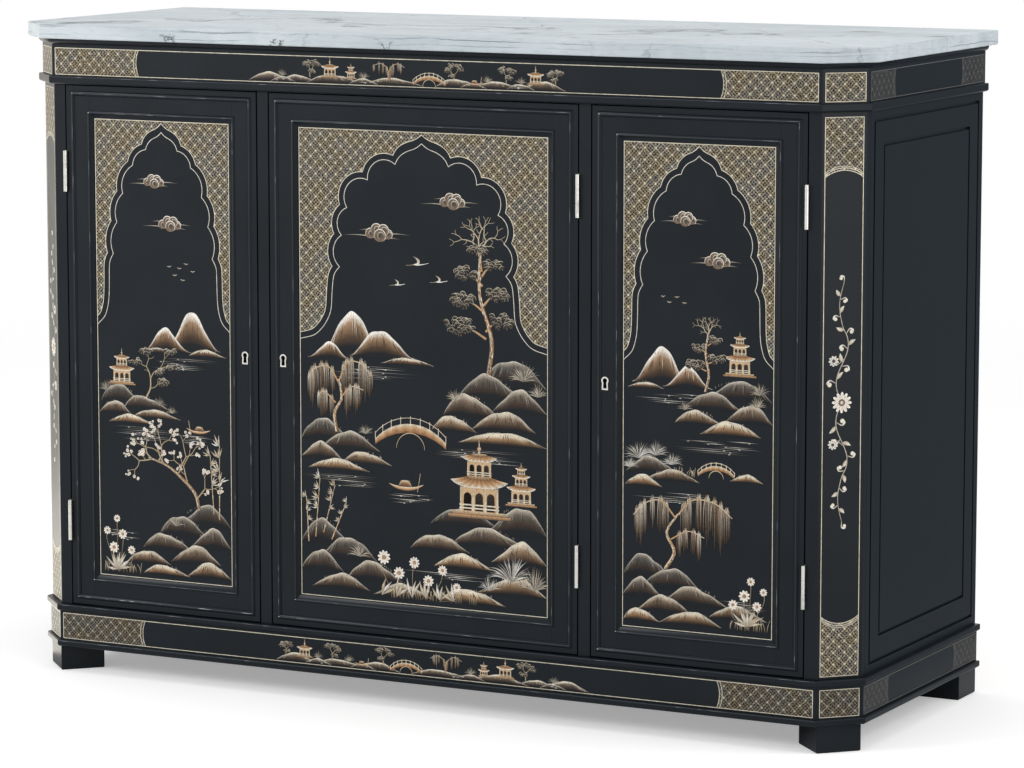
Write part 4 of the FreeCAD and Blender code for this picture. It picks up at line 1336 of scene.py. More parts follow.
def boat(brush, u, v, size, way=1):
    """Sampan with a rounded mat roof and a pole."""
    low = placed(u, v, size, smooth(BOAT_KEEL, 3), way)
    high = placed(u, v, size, smooth(BOAT_RAIL, 3), way)
    brush.sheet(np.stack([high, (low + high) / 2, low]), washed([CREAM, TAN, BROWN]))
    mat = arc_points(u - 0.05 * size * way, v + 0.14 * size, 0.42 * size, 175, 5, 9)
    floor = np.column_stack([mat[:, 0], np.full(len(mat), v + 0.16 * size)])
    brush.sheet(np.stack([mat, (mat + floor) / 2, floor]), washed([GOLD, RUST, tinted(BROWN, 0.6)]))
    for place in placed(u, v, size, BOAT_HOOPS, way):
        ring(brush, *place, 0.32 * size, 60, 120, 0.5, CREAM)
    stroke(brush, placed(u, v, size, BOAT_POLE, way), 0.7, GOLD, 0.8, 3)


def roof(brush, u, v, half, top_half, height, lift):
    """Swept roof with upturned corners and rows of tiles."""
    share = np.linspace(-1, 1, STRIPS)
    reach = top_half + (half - top_half) * (1 - ROOF_ROWS) ** 1.7
    level = v + height * ROOF_ROWS + lift * np.abs(share) ** 4 * (1 - ROOF_ROWS)
    brush.sheet(np.stack([u + reach * share, level], axis=2), striped([CREAM, TAN, RUST, GOLD], 0.62))
    eave = np.column_stack([u + half * share, v + lift * np.abs(share) ** 4])
    ribbon(brush, eave, [1.2, 0.8, 1.2], WHITE, 0.8)


def wall(brush, u, half, low, high, top, bottom):
    left, right = u - half, u + half
    corners = [[(left, high), (right, high)], [(left, low), (right, low)]]
    brush.sheet(corners, [[top, top], [bottom, tinted(bottom, 0.7)]])


def storey(brush, u, level, span, tall):
    """Wall of a pavilion with dark openings, pillars and rails, and its roof."""
    wall(brush, u, 0.42 * span, level, level + tall, blended(TAN, GOLD, 0.5), TAN)
    for share in OPENINGS:
        opening = arc_points(u + share * span, level + 0.3 * tall, 0.09 * span, 180, 0, 7)
        sill = np.column_stack([opening[:, 0], np.full(7, level + 0.02 * tall)])
        brush.sheet(np.stack([opening + (0, 0.3 * tall), sill]), washed([tinted(BROWN, 0.5), INK]))
    for share in PILLARS:
        across = u + share * span
        ribbon(brush, straight((across, level), (across, level + tall)), 0.05 * span, [CREAM, GOLD], 0.7)
    for share in RAILS:
        up, half = level + share * tall, 0.46 * span
        ribbon(brush, straight((u - half, up), (u + half, up)), 0.03 * span, CREAM, 0.8)
    roof(brush, u, level + tall, 0.66 * span, 0.24 * span, 0.26 * span, 0.14 * span)


def pavilion(brush, u, v, width, storeys):
    """Pavilion or pagoda of one or more storeys on a platform, with a finial."""
    wall(brush, u, 0.62 * width, v - 0.08 * width, v, GOLD, RUST)
    wall(brush, u, 0.72 * width, v - 0.15 * width, v - 0.08 * width, TAN, BROWN)
    level, span = v, width
    for _ in range(storeys):
        tall = 0.5 * span
        storey(brush, u, level, span, tall)
        level += tall + 0.24 * span
        span *= 0.62
    finial = [(u, level - 0.02 * span), (u, level + 0.35 * span), (u, level + 0.8 * span)]
    stroke(brush, finial, [0.16 * span, 0.07 * span, 0.3], [GOLD, CREAM], 0.7, 3)
    disc(brush, u, level + 0.3 * span, 0.11 * span, CREAM, TAN)


def bridge(brush, u, v, width, rise):
    """Humped bridge with a round arch beneath and a railing."""
    bow, half, thick = rise / width, 0.5 * width, 0.07 * width
    deck = bulged((u - half, v), (u + half, v), bow, STRIPS)
    under = bulged((u - half, v - thick), (u + half, v - thick), bow * 0.8, STRIPS)
    brush.sheet(np.stack([deck, (deck + under) / 2, under]), striped([CREAM, TAN, RUST], 0.7))
    ring(brush, u, v - 0.1 * width, 0.2 * width, 0, 180, 1.2, GOLD)
    rail = deck + (0, 0.075 * width)
    ribbon(brush, rail, 0.8, CREAM, 0.8)
    for low, high in zip(deck[::2], rail[::2]):
        ribbon(brush, straight(low, high + (0, 0.02 * width), 3), 0.9, CREAM, 0.8)


# The doors' landscapes

# Each door's layers from back to front. A motif is a function and what it is given besides the brush
LEFT_DOOR = {
    "sky": [
        (cloud, -14, 620, 18),
        (cloud, 14, 556, 20),
        (flock, 4.2, [(30, 488), (42, 495), (22, 477), (54, 484), (12, 490), (36, 470)]),
    ],
    "hills": [
        (mountain, 2, 102, 364, 56, 0.5),
        (mountain, -32, 50, 360, 34, 0.42),
        (rocks, [(-46, 20, 356, 9, 0.5), (46, 112, 355, 13, 0.4)], RUST),
        (water, 36, 349, 140, 7),
    ],
    "islet": [
        (rocks, [
            (-114, -42, 276, 34, 0.4), (-72, 10, 268, 24, 0.35), (-118, -60, 258, 24, 0.5),
            (-56, 30, 254, 16, 0.4), (-100, -20, 244, 16, 0.45),
        ]),
        (pavilion, -76, 308, 34, 2),
        (water, -40, 238, 150, 8),
    ],
    "islet_trees": [
        (leafy_tree, (-32, 286), 78, 32, 3.2, 3, (20, 11, 12), 2),
        (needles, -104, 292, 18, 20, 170, 19),
        (needles, -8, 274, 14, 10, 165, 15),
        (needles, 14, 264, 11, 10, 165, 13),
    ],
    "boat": [
        (boat, 62, 236, 19, -1),
        (water, 60, 231, 74, 6),
    ],
    "rocks": [
        (rocks, [
            (20, 118, 92, 40, 0.6), (-10, 76, 74, 38, 0.42), (46, 119, 58, 38, 0.55), (-40, 50, 50, 30, 0.4),
            (10, 100, 32, 34, 0.5), (-70, 10, 26, 24, 0.45), (40, 118, 12, 28, 0.5), (-40, 44, 10, 18, 0.4),
        ]),
        (water, -78, 74, 76, 6),
    ],
    "plum_tree": [
        (plum, [(62, 116), (54, 142), (28, 166), (4, 182), (-28, 192)], 6.5, [
            (0.2, 50, 22), (0.4, 105, 30), (0.55, 62, 32), (0.72, 128, 30), (0.88, 80, 26),
            (0.99, 190, 24), (0.99, 120, 22),
        ], 4),
        (bamboo, 88, 112, 92, -6),
        (bamboo, 98, 104, 116, 1),
        (needles, 20, 88, 16, 15, 170, 17),
    ],
    "flowers": [
        (flower_clump, -86, 10, 12, [
            (-94, 46, 9.0), (-78, 68, 8.0), (-106, 72, 6.5), (-62, 44, 7.0), (-88, 92, 6.0),
        ]),
        (grass, -80, 8, 70, 24, 14),
    ],
}
MIDDLE_DOOR = {
    "sky": [
        (cloud, 52, 612, 21),
        (cloud, -72, 560, 23),
        (crane, -8, 516, 13),
        (crane, 28, 492, 10),
        (crane, -42, 484, 9),
    ],
    "hills": [
        (mountain, -172, -68, 378, 64, 0.5),
        (mountain, -124, -8, 373, 42, 0.45),
        (mountain, -196, -122, 367, 24, 0.5),
        (rocks, [(-70, 20, 365, 12, 0.5)], RUST),
        (water, -88, 358, 200, 8),
    ],
    "cliff": [
        (rocks, [
            (92, 208, 342, 50, 0.5), (60, 168, 322, 44, 0.45), (118, 209, 304, 42, 0.5),
            (36, 130, 294, 40, 0.4), (84, 190, 276, 36, 0.5), (16, 92, 270, 28, 0.42),
            (60, 209, 254, 24, 0.5),
        ]),
        (water, 96, 244, 210, 8),
    ],
    "pine": [
        (pine, (112, 358), (98, 536), 8.0, [
            (-44, 0.36, 50), (26, 0.42, 42), (-34, 0.58, 44), (24, 0.64, 38), (-26, 0.8, 38),
            (20, 0.88, 34), (-4, 1.0, 32),
        ]),
        (needles, 170, 352, 28, 10, 170, 27),
        (needles, 194, 330, 20, 20, 170, 19),
        (needles, 56, 316, 18, 20, 165, 19),
    ],
    "left_bank": [
        (rocks, [
            (-208, -120, 242, 40, 0.4), (-172, -72, 230, 34, 0.45), (-209, -138, 214, 30, 0.5),
            (-136, -52, 210, 22, 0.4), (-196, -90, 198, 20, 0.45),
        ]),
        (water, -124, 190, 180, 7),
        (bridge, -20, 250, 120, 26),
    ],
    "willow": [
        (willow_limb, [(-142, 330), (-160, 354), (-184, 350), (-196, 334)], 3.0, 6, 72),
        (willow_limb, [(-141, 336), (-128, 362), (-104, 362), (-86, 344)], 3.0, 6, 76),
        (willow_limb, [(-138, 310), (-120, 326), (-100, 322)], 2.6, 4, 56),
        (willow_limb, [(-148, 300), (-168, 316), (-180, 308)], 2.6, 4, 54),
        (trunk, [(-146, 256), (-150, 284), (-138, 308), (-142, 336)], 6.5),
        (needles, -96, 256, 16, 15, 170, 17),
    ],
    "boat": [
        (boat, -28, 176, 26),
        (water, -28, 169, 110, 6),
    ],
    "pavilion_bank": [
        (rocks, [
            (14, 130, 128, 34, 0.45), (104, 209, 122, 52, 0.6), (52, 180, 100, 34, 0.4),
            (-20, 80, 88, 30, 0.42), (116, 209, 78, 40, 0.55), (20, 120, 64, 26, 0.45),
        ]),
        (pavilion, 96, 152, 72, 2),
        (pavilion, 166, 170, 36, 3),
        (water, 40, 54, 190, 4),
    ],
    "near_rocks": [
        (rocks, [
            (-208, -124, 84, 44, 0.4), (-176, -78, 62, 42, 0.5), (-209, -136, 42, 38, 0.45),
            (-128, -34, 34, 34, 0.4), (-190, -90, 16, 28, 0.5), (-84, 16, 12, 24, 0.5),
            (92, 209, 30, 34, 0.55), (30, 140, 12, 26, 0.4),
        ]),
    ],
    "plants": [
        (bamboo, -184, 92, 92, 8),
        (bamboo, -170, 100, 74, 20),
        (bamboo, -196, 84, 70, -4),
        (bamboo, -156, 90, 60, 26),
        (needles, 150, 50, 42, 12, 168, 31, WHITE),
        (needles, 188, 40, 34, 20, 166, 23),
        (needles, 112, 34, 22, 15, 165, 19, WHITE),
        (needles, -108, 68, 22, 10, 170, 21),
        (flower_row, [
            (-66, 70, 11.0), (-40, 48, 9.5), (-14, 66, 9.0), (10, 40, 9.0), (34, 58, 8.0), (58, 34, 7.0),
        ], (-70, -44, -18, 6, 30, 54)),
        (grass, 20, 10, 150, 40, 15),
    ],
}
RIGHT_DOOR = {
    "sky": [
        (cloud, -22, 604, 18),
        (cloud, 30, 546, 20),
        (flock, 4.0, [(-34, 490), (-46, 482), (-22, 482), (-56, 490)]),
    ],
    "hills": [
        (mountain, -106, -12, 364, 54, 0.5),
        (mountain, -56, 24, 360, 30, 0.5),
        (rocks, [(-112, -54, 356, 10, 0.5)], RUST),
        (water, -46, 350, 130, 6),
    ],
    "headland": [
        (rocks, [
            (4, 117, 346, 36, 0.6), (-20, 70, 330, 32, 0.45), (42, 118, 314, 34, 0.55),
            (-36, 40, 308, 24, 0.4), (4, 100, 294, 26, 0.5),
        ]),
        (pavilion, 66, 386, 36, 3),
        (water, 34, 286, 160, 8),
    ],
    "headland_trees": [
        (pine, (12, 356), (16, 440), 4.5, [
            (-18, 0.42, 28), (16, 0.54, 26), (-12, 0.72, 24), (10, 0.86, 22),
        ]),
        (needles, 98, 356, 18, 20, 170, 21),
        (needles, 94, 338, 17, 10, 170, 17),
        (needles, -20, 328, 14, 10, 170, 15),
    ],
    "islet": [
        (rocks, [(-114, -30, 232, 28, 0.45), (-84, 4, 222, 20, 0.5), (-116, -56, 212, 20, 0.45)]),
        (bridge, 30, 236, 58, 13),
        (rocks, [(52, 104, 228, 14, 0.5)]),
        (water, -40, 204, 150, 6),
    ],
    "islet_plants": [
        (needles, -94, 252, 26, 8, 172, 25, WHITE),
        (needles, -66, 258, 22, 8, 172, 25, WHITE),
        (needles, -40, 246, 19, 8, 172, 25, WHITE),
        (needles, -108, 238, 15, 8, 172, 25, WHITE),
        (grass, -20, 230, 36, 16, 11),
    ],
    "rocks": [
        (rocks, [
            (-118, -40, 78, 40, 0.4), (-88, 6, 64, 36, 0.5), (-119, -56, 48, 34, 0.45),
            (-50, 50, 42, 32, 0.4), (-96, -10, 28, 30, 0.5), (20, 112, 26, 24, 0.45),
            (-60, 40, 12, 24, 0.5), (-118, -60, 12, 22, 0.4),
        ]),
        (water, 74, 52, 84, 5),
    ],
    "willow": [
        (willow_limb, [(-31, 172), (-8, 196), (28, 194), (56, 174)], 3.0, 7, 80),
        (willow_limb, [(-34, 168), (-58, 192), (-84, 186), (-102, 168)], 2.8, 6, 66),
        (willow_limb, [(-42, 136), (-14, 150), (12, 142)], 2.4, 4, 52),
        (trunk, [(-50, 92), (-36, 118), (-48, 146), (-30, 174)], 6.5),
    ],
    "flowers": [
        (flower_clump, 82, 14, 18, [
            (76, 62, 9.0), (96, 48, 7.5), (58, 48, 7.5), (86, 84, 6.5), (106, 70, 6.0),
        ]),
        (grass, 80, 12, 66, 22, 14),
    ],
}
# Layers of leaves and flowers, which stand a little higher than the rest
FOLIAGE = (
    "islet_trees", "islet_plants", "headland_trees", "plum_tree", "pine", "willow", "plants", "flowers",
)
# Each door's layers and the seed of its first one
LANDSCAPES = {"left": (LEFT_DOOR, 11), "middle": (MIDDLE_DOOR, 21), "right": (RIGHT_DOOR, 31)}


def paint_layer(canvas, name, seed, relief, motifs):
    brush = Brush(canvas, name, seed, relief)
    for motif, *values in motifs:
        motif(brush, *values)
    brush.done()


for side, (layers, first_seed) in LANDSCAPES.items():
    for seed, (layer, motifs) in enumerate(layers.items(), first_seed):
        relief = FOLIAGE_RELIEF if layer in FOLIAGE else PAINT_RELIEF
        paint_layer(DOORS[side][0], f"{side}_door_{layer}", seed, relief, motifs)


# Low landscapes on the frieze and the plinth

# Hills of a vignette: middle, width and height
BAND_HILLS = [
    (-235, 74, 13), (-186, 66, 10), (-124, 96, 12), (-24, 104, 10), (84, 76, 12), (150, 90, 10),
    (226, 72, 13), (188, 46, 8), (-74, 50, 8), (110, 44, 7), (-212, 44, 7),
]
BAND_WILLOW = -32
# Limb of the willow: distance from its trunk and height
BAND_LIMB = [(0, 8), (2, 24), (14, 32), (27, 27)]
BAND_TREES = [(-166, 26), (76, 28), (164, 24), (244, 22)]
BAND_FLOOR = 1.5


def paint_band(canvas, name, seed, middle, floor, flip):
    """Low landscape along the middle of the frieze or the plinth. Flip is -1 where it is mirrored."""
    def at(across):
        return middle + flip * across

    body = blended(TAN, SMOKE, 0.85)
    hills = [(at(across), wide / 2, height) for across, wide, height in BAND_HILLS]
    land = [(mound, u - half, u + half, floor, height, 0.45, 1.05, CREAM, body) for u, half, height in hills]
    land += [
        (pavilion, at(-132), floor + 11, 22, 1),
        (pavilion, at(-96), floor + 9, 14, 2),
        (pavilion, at(212), floor + 11, 20, 1),
        (bridge, at(36), floor + 5, 54, 11),
        (boat, at(112), floor + 5, 12),
    ]
    land += [(water, at(across), floor + 6, 50, 3, 1.6) for across in (-60, -210, 180)]
    paint_layer(canvas, f"{name}_landscape", seed, PAINT_RELIEF, land)
    trees = []
    for way in (-1, 1):
        limb = [(at(BAND_WILLOW + way * across), floor + up) for across, up in BAND_LIMB]
        trees.append((willow_limb, limb, 1.5, 5, 20))
    for across, tall in BAND_TREES:
        trees.append((leafy_tree, (at(across), floor + 8), 88, tall * 0.4, 1.6, 2, (11, 6, 9)))
    trees += [(needles, at(across), floor + 9, 11, 15, 165, 13) for across in (-214, -74, 134, 188)]
    paint_layer(canvas, f"{name}_trees", seed + 1, FOLIAGE_RELIEF, trees)


paint_band(FRIEZE, "frieze", 41, -20, FRIEZE_LINES[0] + BAND_FLOOR, 1)
paint_band(PLINTH, "plinth", 51, 10, PLINTH_LINES[0] + BAND_FLOOR, -1)


# Flower trail on the canted posts

VINE_SEED = 62
VINE_MIDDLE = 509.0
VINE_REACH = 172.0
VINE_SWAY = 9.0
VINE_TURNS = 3.1
VINE_CURLS = 6
BUD_PLACE = (13, 60)
STEM = srgb(186, 178, 164)


def comma(brush, start, angle, size, way):
    """Tendril that swells into a round curled head."""
    knee = ahead(start, angle, size)
    hook = ahead(knee, angle + way * 75, size * 0.55)
    end = ahead(hook, angle + way * 175, size * 0.35)
    stroke(brush, [start, knee, hook, end], [0.9, 1.8, 3.8, 3.4], [STEM, WHITE, WHITE], 0.75, 5)
    disc(brush, *end, 0.32 * size, WHITE, CREAM)


def leaf(brush, start, angle, length, width):
    """Leaf with a lit middle and a darker edge."""
    path = [start, ahead(start, angle + 8, length * 0.5), ahead(start, angle, length)]
    stroke(brush, path, [0.4, width, width * 0.85, 0.2], [STEM, CREAM, WHITE], 0.55, 4)


def paint_vine(side, canvas, middle):
    """Stem that sways up and down from a large flower, with curls, leaves and two smaller flowers."""
    mirror = 1 if side == "right" else -1
    vine = Brush(canvas, f"{side}_post_flower_trail", VINE_SEED)
    shares = np.linspace(0.05, 1.0, 16)
    sway = mirror * VINE_SWAY * np.sin(VINE_TURNS * math.pi * shares) * np.where(shares < 0.6, 1.0, 0.55)
    for up in (1, -1):
        line = smooth(np.column_stack([middle - sway, VINE_MIDDLE + up * VINE_REACH * shares]), 4)
        ribbon(vine, line, [1.4, 1.2, 0.9], [STEM, blended(STEM, CREAM, 0.5), STEM], 0.8)
        ways = np.degrees(np.arctan2(*np.gradient(line, axis=0).T[::-1]))
        for index in range(VINE_CURLS):
            at = int((index + 0.9) / (VINE_CURLS + 0.9) * (len(line) - 1))
            turn = mirror * (1 if index % 2 == 0 else -1)
            comma(vine, line[at], ways[at] + turn * 62, 10.5 - 0.5 * index, turn)
            leaf(vine, line[at + 2], ways[at] - turn * 44, 15.0 - 0.7 * index, 6.0)
        comma(vine, line[-1], 90 * up, 8.0, mirror)
        bud = (middle - mirror * BUD_PLACE[0], VINE_MIDDLE + up * BUD_PLACE[1])
        stroke(vine, [line[20], (bud[0] + 4 * mirror, bud[1] - 6 * up), bud], 0.9, [STEM, CREAM], 0.8, 4)
        blossom(vine, *bud, 8.0, 9, BROWN)
    blossom(vine, middle, VINE_MIDDLE, 15.5, 12)
    disc(vine, middle, VINE_MIDDLE, 3.4, WHITE, RUST)
    vine.done()


for side, (canvas, middle) in POSTS.items():
    paint_vine(side, canvas, middle)


# Wear and painted highlights along the mouldings

WEAR_SEED = 70
WEAR_AND_HIGHLIGHT_SUNK = -0.25
# The faint line along each crest is a painted highlight: its width, then its colour on the level lengths
# and, dimmer, on the uprights, as the light falls from above
PAINTED_HIGHLIGHT_WIDTH = 1.5
WEAR_STREAK = 0.8
PAINTED_HIGHLIGHT = srgb(62, 67, 73)
PAINTED_HIGHLIGHT_UPRIGHT = srgb(46, 50, 55)
# Colours of the broken worn streaks and of the rubbed corners
WEAR_GREY = srgb(120, 124, 129)
WEAR_PALE = srgb(196, 197, 198)
WEAR_SHARE = 0.22
# The moulding whose lower edge is rubbed pale along its whole length
RUBBED = ("left", "edge_bead")
RUBBED_SHARE = 0.8
# Distance from each moulding's outer edge to its crest
CRESTS = {"edge_bead": 4.0, "panel_moulding": 3.0}
LIP_SEED = 80
# Width of the painted highlight along the upper edge of each square moulding
LIP_HIGHLIGHT_WIDTH = 0.9
LIP_SHARE = 0.3


def wear_and_highlight_brush(body, origin, name, seed):
    return Brush(Canvas(body, origin, (1, 0, 0)), f"{name}_wear", seed, THIN_RELIEF, WEAR_AND_HIGHLIGHT_SUNK)


def streaks(wear_and_highlight, first, second, share, colour):
    """Broken pale streaks along an edge, nearest together at its ends."""
    length = float(np.linalg.norm(second - first))
    at = wear_and_highlight.between(0, 12)
    while at < length - 1:
        run = min(wear_and_highlight.between(3, 30), length - at)
        near_end = 2.0 if min(at, length - at) < 0.1 * length else 1.0
        if wear_and_highlight.share() < share * near_end:
            ends = [first + (second - first) * reach / length for reach in (at, at + run)]
            wide = wear_and_highlight.about(WEAR_STREAK, 0.4)
            ribbon(wear_and_highlight, straight(*ends, 4.0), [0.15, wide, wide * 0.7, 0.15], colour)
        at += run + wear_and_highlight.between(2, 26)


def wear_and_highlight_moulding(side, part, seed):
    """Worn marks and a painted highlight on the crest of a moulding round a door: a faint painted highlight
    line, broken worn streaks and bright rubbed corners.
    """
    low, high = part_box(f"{side}_door_{part}")
    wear_and_highlight = wear_and_highlight_brush(f"{side}_door", tuple(low), f"{side}_door_{part}", seed)
    crest = CRESTS[part]
    right, top = (high.x - low.x) / MM - crest, (high.z - low.z) / MM - crest
    corners = np.array([(crest, crest), (right, crest), (right, top), (crest, top)])
    for first, second in zip(corners, np.roll(corners, -1, axis=0)):
        upright = first[0] == second[0]
        # Painted highlight along the crest, dimmer on the uprights
        ribbon(wear_and_highlight, straight(first, second), PAINTED_HIGHLIGHT_WIDTH, PAINTED_HIGHLIGHT_UPRIGHT if upright else PAINTED_HIGHLIGHT, 0.8)
        if (side, part) == RUBBED and first[1] == second[1] == crest:
            streaks(wear_and_highlight, first, second, RUBBED_SHARE, WEAR_PALE)
        else:
            streaks(wear_and_highlight, first, second, WEAR_SHARE, WEAR_GREY)
    for across, up in corners[[0, 3]]:
        disc(wear_and_highlight, across, up, wear_and_highlight.about(1.3, 0.2), WEAR_PALE, WEAR_GREY, 0.7)
    wear_and_highlight.done()


def lip_highlight_and_wear(name, seed):
    """A painted highlight and worn streaks along the upper edge of a square moulding's front: a faint
    painted highlight line and broken streaks.
    """
    low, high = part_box(name)
    level = high.z / MM - EASED_TOP - LIP_HIGHLIGHT_WIDTH / 2
    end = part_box(f"{SQUARE_MOULDINGS[name]}_front")[1].x / MM
    wear_and_highlight = wear_and_highlight_brush("case", (0, low.y, 0), name, seed)
    first, second = np.array((-end, level)), np.array((end, level))
    # Painted highlight along the upper edge
    ribbon(wear_and_highlight, straight(first, second), LIP_HIGHLIGHT_WIDTH, PAINTED_HIGHLIGHT)
    streaks(wear_and_highlight, first, second, LIP_SHARE, WEAR_GREY)
    wear_and_highlight.done()


door_mouldings = [(side, part) for side in DOORS for part in CRESTS]
for seed, (side, part) in enumerate(door_mouldings, WEAR_SEED):
    wear_and_highlight_moulding(side, part, seed)
for seed, name in enumerate(SQUARE_MOULDINGS, LIP_SEED):
    lip_highlight_and_wear(name, seed)


# Screws in the hinges and locks

SCREW_STEPS = 9
# Outline of a head from its edge to its top: shares of its radius and of its height
SCREW_PROFILE = [(1.0, 0.0), (1.0, 0.35), (0.72, 0.85), (0.3, 1.0)]
HINGE_HEIGHT = 63.5
LEAF_GAP = 0.4
LEAF_MIDDLE = 8.0
# Height of each screw above the middle of its leaf, and how far back it sits
HINGE_SCREWS = ((-22.0, 1.8), (0.0, -2.0), (22.0, 1.8))
HINGE_SCREW = {"radius": 2.3, "height": 0.12, "slot": 0.7}
HINGE_SEED = 90
LOCK_SCREW = {"radius": 2.2, "height": 0.6, "slot": 0.6}
LOCK_SCREW_INSET = 5.5
LOCK_SEED = 95


class Screws:
    """Slotted screw heads, made into one piece."""

    def __init__(self, radius, height, slot):
        self.radius, self.height, self.slot = radius, height, slot
        self.points = []
        self.faces = []

    def add(self, middle, out, turn):
        """Head at a point, facing out, with its slot turned by an angle: two rounded halves."""
        middle, out = np.array(middle, float), np.array(out, float)
        upright = np.array((0.0, 0.0, 1.0))
        across = math.cos(turn) * upright + math.sin(turn) * np.cross(upright, out)
        beside = np.cross(out, across)
        for half in (1, -1):
            start = len(self.points)
            for reach, height in SCREW_PROFILE:
                for angle in np.radians(np.linspace(0, 180, SCREW_STEPS)):
                    along = self.radius * reach * math.cos(angle)
                    away = half * (self.slot + (2 * self.radius - self.slot) * reach * math.sin(angle)) / 2
                    offset = along * across + away * beside + height * self.height * out
                    self.points.append(middle + MM * offset)
            faces = self.half_faces(start)
            self.faces += faces if half == 1 else [face[::-1] for face in faces]

    def half_faces(self, start):
        """Round side, top, underside and slot wall of half a head."""
        count = len(SCREW_PROFILE) * SCREW_STEPS
        rows = [range(at, at + SCREW_STEPS) for at in range(start, start + count, SCREW_STEPS)]
        faces = []
        for low, high in zip(rows, rows[1:]):
            faces += [(low[i], low[i + 1], high[i + 1], high[i]) for i in range(SCREW_STEPS - 1)]
        slot_wall = [row[0] for row in reversed(rows)] + [row[-1] for row in rows]
        return faces + [tuple(rows[-1]), tuple(reversed(rows[0])), tuple(slot_wall)]

    def finish(self, name, body, slot):
        return make_piece(name, body, np.array(self.points), self.faces, MATERIALS[slot])


def hinge_screws(side, chance):
    """Screws in both leaves of a door's hinges, flush in the faces that meet when it is shut."""
    low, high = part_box(f"{side}_door_hinge_leaves")
    panel_low, panel_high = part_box(f"{side}_door_panel")
    axis = (low.x + high.x) / 2
    way = math.copysign(1, axis - (panel_low.x + panel_high.x) / 2)
    half = HINGE_HEIGHT / 2 * MM
    for leaf_of, body, out in (("door", f"{side}_door", way), ("frame", "case", -way)):
        screws = Screws(**HINGE_SCREW)
        for level in (low.z + half, high.z - half):
            for up, back in HINGE_SCREWS:
                place = (axis - out * LEAF_GAP / 2 * MM, high.y + (back - LEAF_MIDDLE) * MM, level + up * MM)
                screws.add(place, (out, 0, 0), chance.uniform(0, math.pi))
        screws.finish(f"{side}_{leaf_of}_hinge_screws", body, "nickel")


def lock_screws(side, chance):
    """Screws in the corners of a door's lock case."""
    low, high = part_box(f"{side}_door_lock_case")
    inset = LOCK_SCREW_INSET * MM
    screws = Screws(**LOCK_SCREW)
    for across in (low.x + inset, high.x - inset):
        for up in (low.z + inset, high.z - inset):
            screws.add((across, high.y, up), (0, 1, 0), chance.uniform(0, math.pi))
    screws.finish(f"{side}_door_lock_screws", f"{side}_door", "steel")


for index, side in enumerate(DOORS):
    hinge_screws(side, random.Random(HINGE_SEED + index))
    lock_screws(side, random.Random(LOCK_SEED + index))


# Camera, floor and light

CAMERA_PLACE = (3.0149, -5.8109, 1.3871)
CAMERA_TURN = (81.992, 0.0, 27.194)
CAMERA_LENS = 150.89
AMBIENT = 0.60
FLOOR_RADIUS = 6.0
FLOOR_SIDES = 64
FLOOR_FADE = (1.6, 5.5)
FLOOR_GLOW = 0.34
PAPER = srgb(246, 246, 246)
FLAG_GREY = (0.20, 0.23, 0.26)
CARD_WHITE = (1.0, 0.96, 0.87)
# Corner of each board, the two edges from it, its colour and its brightness
BOARDS = {
    "side_flag": ((0.6, 2.6, -0.6), (3.4, 0, 0), (0, 0, 3.0), FLAG_GREY, 1.0),
    "floor_flag": ((0.78, -0.35, 0.004), (2.4, 0, 0), (0, 2.9, 0), FLAG_GREY, 1.0),
    "left_card": ((-2.2, -0.1, -0.3), (0, 1.9, 0), (0, 0, 1.8), CARD_WHITE, 1.45),
    "left_floor_card": ((-2.2, -0.2, 0.004), (1.46, 0, 0), (0, 2.0, 0), CARD_WHITE, 3.3),
}
# Place of each lamp, the point it faces, its size and its power
LAMPS = {
    "key": ((-3.1, -3.3, 2.2), (-0.1, -0.2, 0.5), (1.8, 1.3), 92),
    "top": ((0.3, -0.2, 3.6), (0, 0, 0.4), (2.4, 1.6), 17),
    "fill": ((3.4, -1.7, 0.9), (0.6, -0.2, 0.5), (1.4, 1.6), 14),
    "side": ((2.5, 0.3, 1.7), (1.5, -0.1, 0), (1.0, 1.0), 14),
}


def add_camera():
    camera = add_object("camera", bpy.data.cameras.new("camera"))
    camera.data.lens = CAMERA_LENS
    camera.location = CAMERA_PLACE
    camera.rotation_euler = [math.radians(angle) for angle in CAMERA_TURN]
    bpy.context.scene.camera = camera


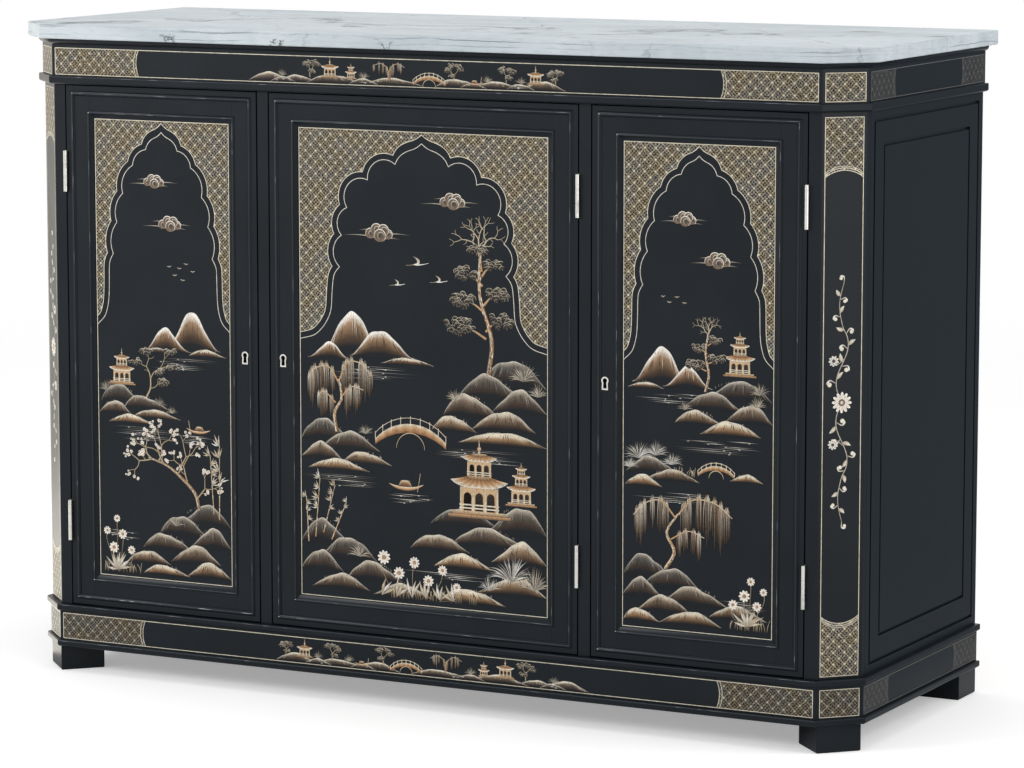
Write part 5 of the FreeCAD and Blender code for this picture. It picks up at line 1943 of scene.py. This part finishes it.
def add_world():
    """White surroundings for the camera, reflections and glass, and a dimmer light from all sides."""
    world = bpy.data.worlds.new("studio")
    world.use_nodes = True
    bpy.context.scene.world = world
    nodes = Nodes(world.node_tree)
    seen = nodes.node("LightPath", output="Is Camera Ray")
    for ray in ("Is Glossy Ray", "Is Transmission Ray"):
        seen = nodes.highest(seen, nodes.node("LightPath", output=ray))
    background = world.node_tree.nodes["Background"]
    nodes.put(background.inputs["Color"], (1, 1, 1))
    strength = nodes.node("MapRange", {"Value": seen, "To Min": AMBIENT, "To Max": 1.0})
    nodes.put(background.inputs["Strength"], strength)


def floor_material():
    """White paper that thins out far away. Its own glow, for the camera alone, keeps its shadows pale."""
    look = Look("floor")
    look.surface_is(Base_Color=PAPER, Roughness=0.9, Specular_IOR_Level=0.0)
    glow = look.node("LightPath", output="Is Camera Ray") * FLOOR_GLOW
    shining = look.node("Emission", {"Color": (1.0, 1.0, 1.0), "Strength": glow})
    lit = look.node("AddShader", {0: Field(look, look.surface.outputs[0]), 1: shining})
    gone = look.between(look.vector("LENGTH", look.position(), output="Value"), *FLOOR_FADE)
    return look.ends_in(look.node("MixShader", {0: gone, 1: lit, 2: look.node("BsdfTransparent")}))


def add_sheet(name, corners, material):
    """Flat sheet that belongs to the studio, not to the cabinet."""
    mesh = bpy.data.meshes.new(name)
    mesh.from_pydata(corners, [], [tuple(range(len(corners)))])
    mesh.materials.append(material)
    sheet = add_object(name, mesh)
    return sheet


def add_floor():
    angles = np.linspace(0, math.tau, FLOOR_SIDES, endpoint=False)
    rim = [(FLOOR_RADIUS * math.cos(angle), FLOOR_RADIUS * math.sin(angle), 0) for angle in angles]
    add_sheet("floor", rim, floor_material())


def add_board(name, corner, first, second, colour, brightness):
    """Board seen only in reflections: grey to keep the right side dark, white to light the left cants."""
    corner, first, second = (np.array(row) for row in (corner, first, second))
    look = Look(name)
    material = look.ends_in(look.node("Emission", {"Color": colour, "Strength": brightness}))
    board = add_sheet(name, [corner, corner + first, corner + first + second, corner + second], material)
    board.visible_camera = False
    board.visible_diffuse = False
    board.visible_shadow = False


def add_lamp(name, place, target, size, power):
    light = bpy.data.lights.new(name, "AREA")
    light.shape = "RECTANGLE"
    light.size, light.size_y = size
    light.energy = power
    lamp = add_object(name, light)
    lamp.location = place
    lamp.rotation_euler = (Vector(target) - Vector(place)).to_track_quat("-Z", "Y").to_euler()


add_camera()
add_world()
add_floor()
for name, values in BOARDS.items():
    add_board(name, *values)
for name, values in LAMPS.items():
    add_lamp(name, *values)

bpy.context.scene.view_settings.view_transform = "Standard"
